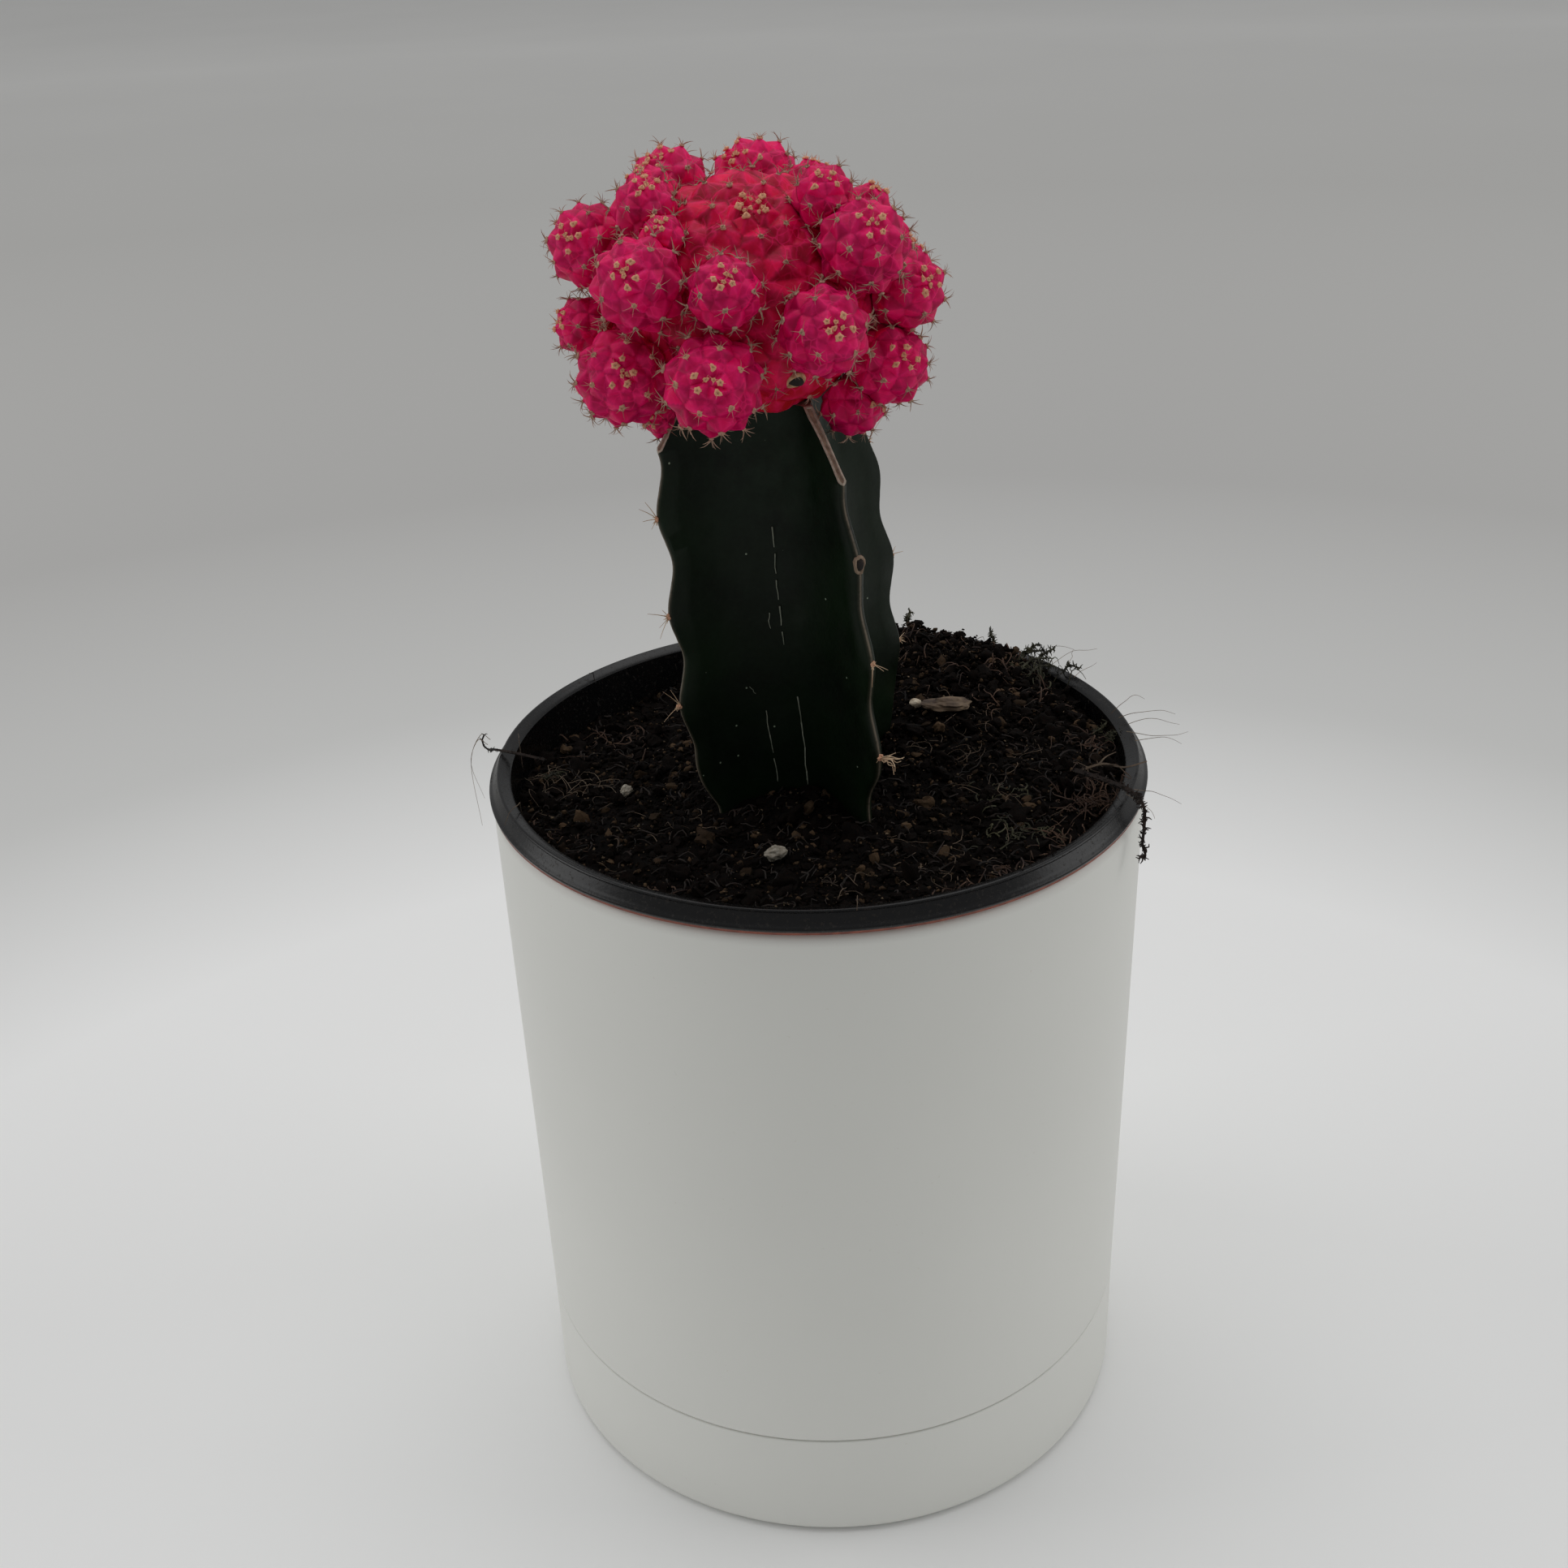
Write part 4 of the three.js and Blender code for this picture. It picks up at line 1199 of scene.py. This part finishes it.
# Tubes along lists of points, each with a radius at its start and at its end.
def strandPiece(name, strands, material, slot, *nodes, sides=0):
    data = bpy.data.curves.new(name, "CURVE")
    data.dimensions = "3D"
    data.bevel_depth = mm
    data.bevel_resolution = sides
    data.use_fill_caps = True
    for points, startRadius, endRadius in strands:
        spline = data.splines.new("POLY")
        spline.points.add(len(points) - 1)
        for i, (point, knot) in enumerate(zip(points, spline.points)):
            share = i / (len(points) - 1)
            knot.co = (*(np.array(point) * mm), 1)
            knot.radius = startRadius + (endRadius - startRadius) * share
    data.materials.append(materials[material])
    piece = bpy.data.objects.new(name, data)
    bpy.context.scene.collection.objects.link(piece)
    pickOnly(piece)
    bpy.ops.object.convert(target="MESH")
    piece = bpy.context.object
    shadeByAngle(piece, 80)
    fit(piece, slot, *nodes)


# A smooth line through a few points.
def smoothLine(points, steps):
    points = [np.array(p, float) for p in points]
    ends = [2 * points[0] - points[1], *points, 2 * points[-1] - points[-2]]
    line = []
    for i in range(1, len(ends) - 2):
        a, b, c, d = ends[i - 1:i + 3]
        for step in range(steps):
            t = step / steps
            line.append(0.5 * (2 * b + (c - a) * t + (2 * a - 5 * b + 4 * c - d) * t * t
                               + (3 * b - a - 3 * c + d) * t ** 3))
    line.append(points[-1])
    return line


# The height that lies under a spot, soil or rim.
def groundAt(x, y):
    reach = math.hypot(x, y)
    if reach > nurseryPot["mouth"] - 0.2:
        return rimTop + 0.2 - max(0, reach - 60) * 2
    return float(soilHeight(x, y)) + lumpHeight(x, y) - 0.3


# A fibre that lies over the soil, wandering as it goes.
def lyingFibre(x, y, turn, length, lift, curl, chance, steps=7):
    points = []
    drift = chance.uniform(-curl, curl)
    arch = chance.uniform(0, lift)
    for i in range(steps):
        share = i / (steps - 1)
        rise = arch * math.sin(math.pi * share) + chance.uniform(0, 0.25) + lift * 0.25 * share
        points.append((x, y, groundAt(x, y) + rise))
        step = length / (steps - 1)
        x, y = x + step * math.cos(turn), y + step * math.sin(turn)
        turn += drift + chance.uniform(-curl, curl) * 0.6
    return points


looseFibres = 750
tufts = {   # place, spread, count, length, lift
    "coir": [((48, -17), 4.5, 60, 6, 2.2), ((44, -28), 5, 34, 5, 1.4), ((33, -42), 5, 36, 5, 1.3),
             ((22, -50), 4, 28, 4, 1.1), ((-30, -42), 4, 18, 4, 1.0), ((-46, -22), 4, 14, 4, 0.9),
             ((-40, 22), 8, 22, 6, 1.2), ((36, 32), 13, 90, 5, 2.0), ((14, 44), 8, 40, 5, 1.8),
             ((50, 3), 6, 26, 5, 1.4)],
    "root": [((38, -8), 14, 26, 8, 1.2), ((22, -30), 10, 18, 8, 1.0), ((-30, -20), 18, 22, 6, 0.9),
             ((30, 10), 12, 22, 6, 1.2), ((10, -45), 14, 20, 5, 1.0)],
    "moss": [((47, 31), 3.5, 40, 4, 2.5), ((36, -24), 5, 46, 3, 0.9), ((33, -12), 4, 26, 3, 0.8)],
}


# Fibres in tufts, then short dark ones all over the soil.
def makeTufts():
    chance = random.Random(77)
    thickness = {"coir": (0.17, 0.07), "root": (0.1, 0.04), "moss": (0.2, 0.07)}
    for material, places in tufts.items():
        strands = []
        for (x, y), spread, count, length, lift in places:
            for i in range(count):
                fx, fy = x + chance.gauss(0, spread * 0.6), y + chance.gauss(0, spread * 0.6)
                if insideStock(fx, fy, 0.5) or math.hypot(fx, fy) > 56.5:
                    continue
                line = lyingFibre(fx, fy, chance.uniform(0, 6.28), length * chance.uniform(0.4, 1.2),
                                  lift, 0.5, chance)
                start, end = thickness[material]
                thick = chance.uniform(0.6, 1.2)
                strands.append((line, start * thick, end * thick))
        strandPiece("fibres_" + material, strands, material, "plant_fibre")
    strands = []
    for i in range(looseFibres):
        turn, reach = chance.uniform(0, 6.283), math.sqrt(chance.random()) * 55.5
        x, y = reach * math.cos(turn), reach * math.sin(turn)
        if insideStock(x, y, 0.5):
            continue
        line = lyingFibre(x, y, chance.uniform(0, 6.28), chance.uniform(1.5, 4.5), 0.9, 0.7, chance, 5)
        strands.append((line, chance.uniform(0.1, 0.26), 0.06))
    strandPiece("fibres_peat", strands, "darkFibre", "plant_fibre")


# The three strands that hang over the rim: how far each axis is over it, then points as azimuth,
# distance out past the rim's inner edge and height over the rim's top.
hanging = {
    "moss_strand_right": (0.8, [(-20, -8, 0.9), (-23, -2, 1.2), (-25, 3, 0.9), (-26, 5.9, -1.4),
                                (-27, 6.3, -8)]),
    "twig_right": (0.6, [(-19, -7.5, 0.6), (-17.6, -3.6, 1.9), (-15, 0, 0.4), (-12.2, 3.8, 0.5)]),
    "root_strand_left": (0.5, [(-179, -6, -1.2), (180, -0.6, -0.1), (178, 3.8, -0.2),
                               (175.5, 5.6, -1.6)]),
}


def hangingLine(node, steps):
    radius, points = hanging[node]
    places = []
    for azimuth, out, over in points:
        way = heading(azimuth, 0) * (nurseryPot["mouth"] + out)
        places.append((way[0], way[1], rimTop + over + radius))
    return smoothLine(places, steps)


# Short branchlets along a stem, as on moss or a shredded root.
def bushy(line, length, perStep, thick, chance, radius=0.3):
    strands = [(line, radius, radius * 0.5)]
    for point in line:
        for i in range(perStep):
            way = np.array([chance.gauss(0, 1) for k in range(3)])
            way /= np.linalg.norm(way)
            end = point + way * length * chance.uniform(0.4, 1.1)
            middle = (point + end) / 2 + np.array([chance.gauss(0, 0.12) * length for k in range(3)])
            strands.append(([point, middle, end], thick, thick * 0.35))
    return strands


# The moss strand, the forked twig and the hooked root.
def makeHanging():
    chance = random.Random(9)
    line = hangingLine("moss_strand_right", 7)
    curl = [line[-1] + np.array([0.5 * math.sin(t), -0.3 * t, math.cos(t) - 1.0]) for t in (1, 2, 3, 4)]
    strands = bushy(line + curl, 1.2, 8, 0.2, chance, 0.55)
    strandPiece("moss_strand_shaggy", strands, "darkFibre", "plant_fibre", "moss_strand_right")
    line = hangingLine("twig_right", 6)
    strands = [(line, 0.32, 0.14)]
    for at, bend, end, thick in ((5, (1.5, 1.8, 0.6), (3.5, 3, 0.9), 0.22),
                                 (8, (1.2, -1.5, 0.5), (2.6, -3.4, -0.4), 0.2)):
        strands.append((smoothLine([line[at], line[at] + bend, line[at] + end], 4), thick, 0.08))
    strandPiece("twig_forked", strands, "root", "plant_fibre", "twig_right")
    line = hangingLine("root_strand_left", 6)
    hook = [line[-1] + np.array(step) for step in ((-0.9, 0.4, 0.7), (-1.2, 0.9, 1.7), (-0.8, 1.2, 2.5))]
    strands = bushy(line + hook, 0.8, 3, 0.12, chance, 0.36)
    strandPiece("root_strand_hooked", strands, "darkFibre", "plant_fibre", "root_strand_left")


# A line that starts on the rim and wanders outwards.
def outwardHair(azimuth, startOut, length, rise, sway, chance):
    start = heading(azimuth, 0) * (nurseryPot["mouth"] + startOut)
    start[2] = rimTop + 0.5
    points = [start]
    turn = azimuth
    for i in range(5):
        turn += chance.uniform(-sway, sway)
        lift = rise * (1 - i * 0.45) + chance.uniform(-0.3, 0.3)
        points.append(points[-1] + heading(turn, 0) * length / 5 + np.array([0, 0, lift]))
    return smoothLine(points, 3)


# Moss stems and twigs at the edge, hairs that stray over the rim, and a tuft of them inside it.
def makeSprigs():
    chance = random.Random(15)
    stems, moss, hairs = [], [], []
    for x, y, lean, tall in ((20, 53, 0.1, 2.4), (37.5, 43, -0.15, 3.0), (12, 53, 0.4, 1.8),
                             (43, 38, 0.5, 2)):
        foot = groundAt(x, y) + 0.6
        line = smoothLine([(x, y, foot), (x + lean * 2, y, foot + tall * 0.5),
                           (x + lean * 6, y + 0.5, foot + tall)], 5)
        stems += bushy(line, 1.2, 6, 0.17, chance, 0.34)
    for azimuth, length, rise in ((36, 9, 0.4), (33, 7, 0.8), (39, 8, 0.1)):
        line = outwardHair(azimuth, -6, length, rise, 25, chance)
        moss += bushy(line, 1.6, 2, 0.16, chance, 0.3)
    for x, y in ((46, 36), (50, 29), (44, 39), (54.5, 7), (55.5, 4), (53, 9), (-52, 4)):
        foot = groundAt(x, y) + 0.5
        line = smoothLine([(x, y, foot), (x + 1, y + chance.uniform(-2, 2), foot + 1.2),
                           (x + 3, y + chance.uniform(-3, 3), foot + 1.2)], 4)
        stems += bushy(line, 1.3, 4, 0.18, chance, 0.32)
    for azimuth, startOut, length, rise in (
            (34, 0, 14, 0.9), (30, 0, 12, 0.3), (27, 1, 9, 0.6), (38, 0, 10, 1.1), (7, 1, 11, 0.8),
            (4, 2, 10, 0.2), (1, 1, 12, -0.4), (9, 0, 8, 1.3), (-3, 2, 9, 0.5), (-22, 3, 9, 0.4),
            (-24, 2, 10, -0.6)):
        hairs.append((outwardHair(azimuth, startOut, length, rise, 22, chance), 0.07, 0.03))
    for azimuth, tip in ((176, (-64.5, 6, -12)), (174, (-66, 8, -19))):
        start = heading(azimuth, 0) * 62.5
        start[2] = rimTop + 0.3
        hairs.append((smoothLine([start, start + (-2, 1, 0.5), (-66.5, 7, rimTop - 5),
                                  (tip[0], tip[1], rimTop + tip[2])], 6), 0.08, 0.03))
    for i in range(26):
        x, y = -48 + chance.gauss(0, 2.5), 3 + chance.gauss(0, 3)
        hairs.append((lyingFibre(x, y, chance.uniform(0, 6.28), 7, 1.6, 0.5, chance), 0.07, 0.03))
    strandPiece("sprigs", stems, "moss", "plant_fibre")
    strandPiece("moss_twigs", moss, "moss", "plant_fibre")
    strandPiece("stray_hairs", hairs, "hair", "plant_fibre")


makeTufts()
makeHanging()
makeSprigs()
print("strands laid")


frontRib = 3       # the front right rib, which has the old wound and the pale tuft
frontTurn = stock["ribs"][frontRib]["turn"]
stockAreoles = [   # rib, height over the rim, pad size, spines as length, tilt up, sideways
    (2, 50.3, 0.9, ((5.5, 50, 28), (4, 75, -20), (2.6, 10, -40), (2.2, -20, 30))),
    (2, 32.5, 1.0, ((6, 40, 25), (3.6, 5, 40), (4.2, -48, -15), (2.2, 70, 0))),
    (2, 15.7, 1.0, ((5.8, 62, 20), (4, 80, -15), (3.4, 20, 50), (5.2, -30, -70))),
    (3, 26.6, 1.0, ((3.2, 8, 40), (2.4, 50, -20), (4.2, -70, -35), (2.4, -15, 70))),
    (3, 8.8, 0.9, ((2.2, 10, 30), (2, 40, 60))),
    (0, 53.5, 0.6, ((6.2, 56, 4), (2, 10, 30))),
    (0, 30.5, 0.8, ((2.4, 20, -30), (1.8, 60, 20))),
    (0, 13, 0.8, ((2.6, 30, 20), (1.8, -10, -30))),
    (1, 40, 0.8, ((4, 40, 20), (3, 10, -35), (2, 70, 0))),
    (1, 22.5, 0.9, ((4.4, 30, -20), (3, 60, 25))),
    (1, 5, 0.8, ((3, 40, 10), (2, 0, -30))),
]


# A spot on a rib's edge.
def edgeSpot(ribIndex, height, out=0.0):
    rib = stock["ribs"][ribIndex]
    way = heading(rib["turn"], 0) * (rib["reach"] + 0.38)
    x, y = stockPoint(way[0], way[1], rib, height)
    return np.array([x, y, height]) + heading(rib["turn"], 0) * out


# The way that the face between a rib and the next one looks.
def faceTurn(ribIndex):
    turn = stock["ribs"][ribIndex]["turn"]
    return turn + (stock["ribs"][(ribIndex + 1) % 4]["turn"] - turn) % 360 / 2


# A spot on the face between a rib and the next one, by its share of the way across.
def faceSpot(ribIndex, share, height):
    rib = stock["ribs"][ribIndex]
    after = stock["ribs"][(ribIndex + 1) % 4]
    first = heading(rib["turn"], 0)[:2] * rib["reach"]
    last = heading(after["turn"], 0)[:2] * after["reach"]
    hollow = heading(faceTurn(ribIndex), 0)[:2] * stock["valleyReach"]
    pull = 2 * hollow - (first + last) / 2
    x, y = (1 - share) ** 2 * first + 2 * share * (1 - share) * pull + share ** 2 * last
    x, y = stockPoint(x, y, rib if share < 0.5 else after, height)
    return np.array([x, y, height])


# Pads of wool on the stock's edges, each with its fan of spines and a few bristles.
def makeStockAreoles():
    chance = random.Random(12)
    chunks, spines = [], []
    for ribIndex, above, size, fans in stockAreoles:
        turn = stock["ribs"][ribIndex]["turn"]
        spot = edgeSpot(ribIndex, rimTop + above)
        outward = heading(turn, 0)
        turnFrame = axisFrame(outward, 0)
        for i in range(3):
            shift = np.array([chance.gauss(0, 0.16) for k in range(3)]) * size
            padPoints, padCorners, padMiddle = padShapes[i % len(padShapes)]
            shape = padPoints * size * 0.5 * chance.uniform(0.7, 1.1)
            chunks.append({"points": spot + shift + shape @ turnFrame.T, "corners": padCorners, "slot": 0,
                           "values": {"age": 0.45, "middle": padMiddle * 0.6}})
        for length, tilt, side in fans:
            way = heading(turn + side, tilt)
            bend = heading(turn + side * 0.4, tilt - 30)
            line = [spot + way * length * 0.5 * t + bend * length * 0.5 * t ** 2 for t in (0, 0.35, 0.7, 1)]
            spines.append((line, 0.1, 0.035))
        for i in range(5):
            way = heading(turn + chance.uniform(-70, 70), chance.uniform(-50, 60))
            spines.append(([spot, spot + way * 0.6, spot + way * 1.0 + (0, 0, -0.15)], 0.08, 0.04))
    # the curled pale tuft low on the front right rib
    spot = edgeSpot(frontRib, rimTop + 8.8)
    for i in range(9):
        turns = [chance.uniform(-60, 60) for k in range(4)]
        line = [spot]
        for turn in turns:
            line.append(line[-1] + heading(frontTurn + turn + 30, chance.uniform(-35, 35)) * 1.15)
        spines.append((smoothLine(line, 3), 0.12, 0.06))
    piece = pieceFromChunks("stock_areole_pads", chunks, [materials["wool"]])
    shadeByAngle(piece, 70)
    fit(piece, "stock_green")
    strandPiece("stock_spines", spines, "paleSpine", "stock_green")


scar = {"azimuth": -66.8, "elevation": -29.3, "out": 0.35, "twist": 0.5, "radius": 1.25}


# A healed wound low on the mother: a pale cork ring round a dark lump that is painted shade for its hollow.
def makeMotherScar():
    way = heading(scar["azimuth"], scar["elevation"])
    spot = motherCentre + way * (motherReach(way) + scar["out"])
    turnFrame = axisFrame(way, scar["twist"])
    chance = random.Random(44)
    ring = []
    for turn in np.linspace(0, 2 * math.pi, 15)[:-1]:
        reach = scar["radius"] * chance.uniform(0.88, 1.12)
        flat = np.array([reach * 1.2 * math.cos(turn), reach * 0.85 * math.sin(turn), -0.25])
        ring.append(spot + turnFrame @ flat)
    ring.append(ring[0])
    strandPiece("mother_scar_rim", [(smoothLine(ring, 2), 0.4, 0.4)], "scarCork", "scion_red", sides=2)
    # painted shade: a dark lump sunk in the ring stands for the hollow
    points, corners = modelLump(3, 0.35, 6)
    points = points * np.array([1.1, 0.8, 0.5]) * scar["radius"] @ turnFrame.T + spot - way * 0.3
    hole = pieceFromChunks("mother_scar_hollow_shade", [{"points": points, "corners": corners}],
                           [materials["darkFibre"]])
    fit(hole, "scion_red")


# Scratches down a face, a slit drawn as a dark strand of painted shade, and an old wound.
def makeStockMarks():
    chance = random.Random(3)
    pale = []
    marks = (   # rib before the face, share across it, from and to over the rim, wander, radius
        (2, 0.5, 46, 24, 0.004, 0.13), (2, 0.545, 14, -5, 0.004, 0.12), (2, 0.365, 11, -5, 0.004, 0.11),
        (2, 0.44, 30, 27, 0.01, 0.08), (2, 0.3, 16, 14.5, 0.01, 0.08),
    )
    for ribIndex, share, high, low, wander, radius in marks:
        line = []
        steps = max(4, int(abs(high - low) / 1.2))
        for i in range(steps + 1):
            share += chance.uniform(-wander, wander)
            height = rimTop + high + (low - high) * i / steps
            line.append(faceSpot(ribIndex, share, height) + heading(faceTurn(ribIndex), 0) * 0.3)
        for start in range(0, len(line) - 2, 4):
            stretch = line[start:start + 4 + chance.choice((0, 1, 1, 1))]
            pale.append((stretch, radius * chance.uniform(0.7, 1.1), radius * 0.5))
    strandPiece("stock_scratches", pale, "scratch", "stock_green")
    # painted shade: a dark strand stands for the slit
    slit = [faceSpot(frontRib, 0.82, rimTop + height) + heading(faceTurn(frontRib), 0) * 0.25
            for height in (21.5, 20.6, 19.6, 18.8)]
    strandPiece("stock_slit_shade", [(slit, 0.22, 0.12)], "darkFibre", "stock_green")
    # an old wound on the front right rib: a corky ring round a dark lump that is painted shade for its pit
    spot = edgeSpot(frontRib, rimTop + 44, -0.5)
    outward, sideways = heading(frontTurn, 0), heading(frontTurn + 90, 0)
    ring = []
    for t in np.linspace(0, 2 * math.pi, 17):
        wave = 1 + 0.12 * math.sin(3 * t) + 0.08 * math.sin(5 * t + 1)
        ring.append(spot + np.array([0, 0, 1.4 * wave * math.sin(t)]) + outward * 0.45
                    + sideways * 0.8 * wave * math.cos(t))
    strandPiece("stock_scar_rim", [(ring, 0.34, 0.34)], "cork", "stock_green", sides=2)
    # painted shade: a dark lump stands for the wound's pit
    points, corners = modelLump(3, 0.15, 2)
    points = points * np.array([0.85, 0.85, 1.2]) + spot + outward * 0.2
    hole = pieceFromChunks("stock_scar_hole_shade", [{"points": points, "corners": corners}],
                           [materials["darkFibre"]])
    fit(hole, "stock_green")


makeStockAreoles()
makeStockMarks()
makeMotherScar()
print("stock and mother marked")


camera = {
    "place": (0, -314.1, 293.7),
    "pitch": 27.18, "yaw": -1.158, "roll": -2.302,
    "lens": 42.86, "sensor": 36,
}


# Aims the camera by its pitch and yaw, then rolls it.
def placeCamera():
    pitch, yaw, roll = (math.radians(camera[key]) for key in ("pitch", "yaw", "roll"))
    forward = Vector((math.sin(yaw) * math.cos(pitch), math.cos(yaw) * math.cos(pitch), -math.sin(pitch)))
    right = forward.cross(Vector((0, 0, 1))).normalized()
    above = right.cross(forward)
    tiltedRight = right * math.cos(roll) + above * math.sin(roll)
    tiltedAbove = above * math.cos(roll) - right * math.sin(roll)
    data = bpy.data.cameras.new("camera")
    data.lens, data.sensor_width = camera["lens"], camera["sensor"]
    data.clip_start, data.clip_end = 0.01, 30
    eye = bpy.data.objects.new("camera", data)
    bpy.context.scene.collection.objects.link(eye)
    turn = Matrix((tiltedRight, tiltedAbove, -forward)).transposed().to_4x4()
    eye.matrix_world = Matrix.Translation(Vector(camera["place"]) * mm) @ turn
    bpy.context.scene.camera = eye


studio = {
    "floor": 16, "ahead": 4,   # its side, and how far its middle is behind the pot, in metres
    # painted light: the floor's grey by distance from the pot, lighter round it and darker further off
    "painted_light_greys": [(0.0, "#f6f6f5"), (0.09, "#f1f1f0"), (0.135, "#cbcbc9"), (0.22, "#b4b3b1"),
              (0.5, "#c4c3c0"), (0.95, "#eeedea")],   # by share of three metres
    "world": 0.36,
    "lamps": [   # name, place in metres, size, watts
        ("overhead", (0.0, 0.5, 2.0), 2.0, 15),
        ("left_side", (-1.3, 0.1, 0.75), 0.8, 3.6),
        ("right_side", (1.3, 0.1, 0.75), 0.8, 3.2),
    ],
}


# A pale floor with painted light that falls off away from the pot, a plain sky and three soft lamps.
def makeStudio():
    bpy.ops.object.select_all(action="DESELECT")
    bpy.ops.mesh.primitive_plane_add(size=studio["floor"], location=(0, studio["ahead"], 0))
    floor = bpy.context.object
    floor.name = "studio_floor"
    material, shader, noises = startMaterial("paper_sweep_painted_light", {"cloud": (300, 2)}, Roughness=0.9)
    # the paper's grey is painted light: lightest round the pot and falling off behind it, stepped outwards
    distance = addNode(material, "VectorMath", noises["place"], (0, -studio["ahead"] - 0.06, 0),
                       operation="DISTANCE")
    grey = addNode(material, "ValToRGB", (distance.outputs["Value"], 0, 3))
    stops = grey.color_ramp.elements
    while len(stops) < len(studio["painted_light_greys"]):
        stops.new(0.5)
    for stop, (position, colour) in zip(stops, studio["painted_light_greys"]):
        stop.position = position
        stop.color = linear(colour)
    finishMaterial(material, shader, grey, [((noises["cloud"], 0.3, 0.7, 0, 0.06), "#bdbcb8")])
    floor.data.materials.append(material)
    world = bpy.data.worlds.new("studio")
    bpy.context.scene.world = world
    world.use_nodes = True
    sky = world.node_tree.nodes["Background"]
    sky.inputs["Color"].default_value = (0.98, 0.99, 1, 1)
    sky.inputs["Strength"].default_value = studio["world"]
    for name, place, size, watts in studio["lamps"]:
        data = bpy.data.lights.new(name, "AREA")
        data.shape, data.size, data.energy = "SQUARE", size, watts
        lamp = bpy.data.objects.new(name, data)
        bpy.context.scene.collection.objects.link(lamp)
        lamp.location = place
        lamp.rotation_euler = (Vector((0, 0, 0.12)) - Vector(place)).to_track_quat("-Z", "Y").to_euler()


placeCamera()
makeStudio()
bpy.context.scene.view_settings.view_transform = "Standard"
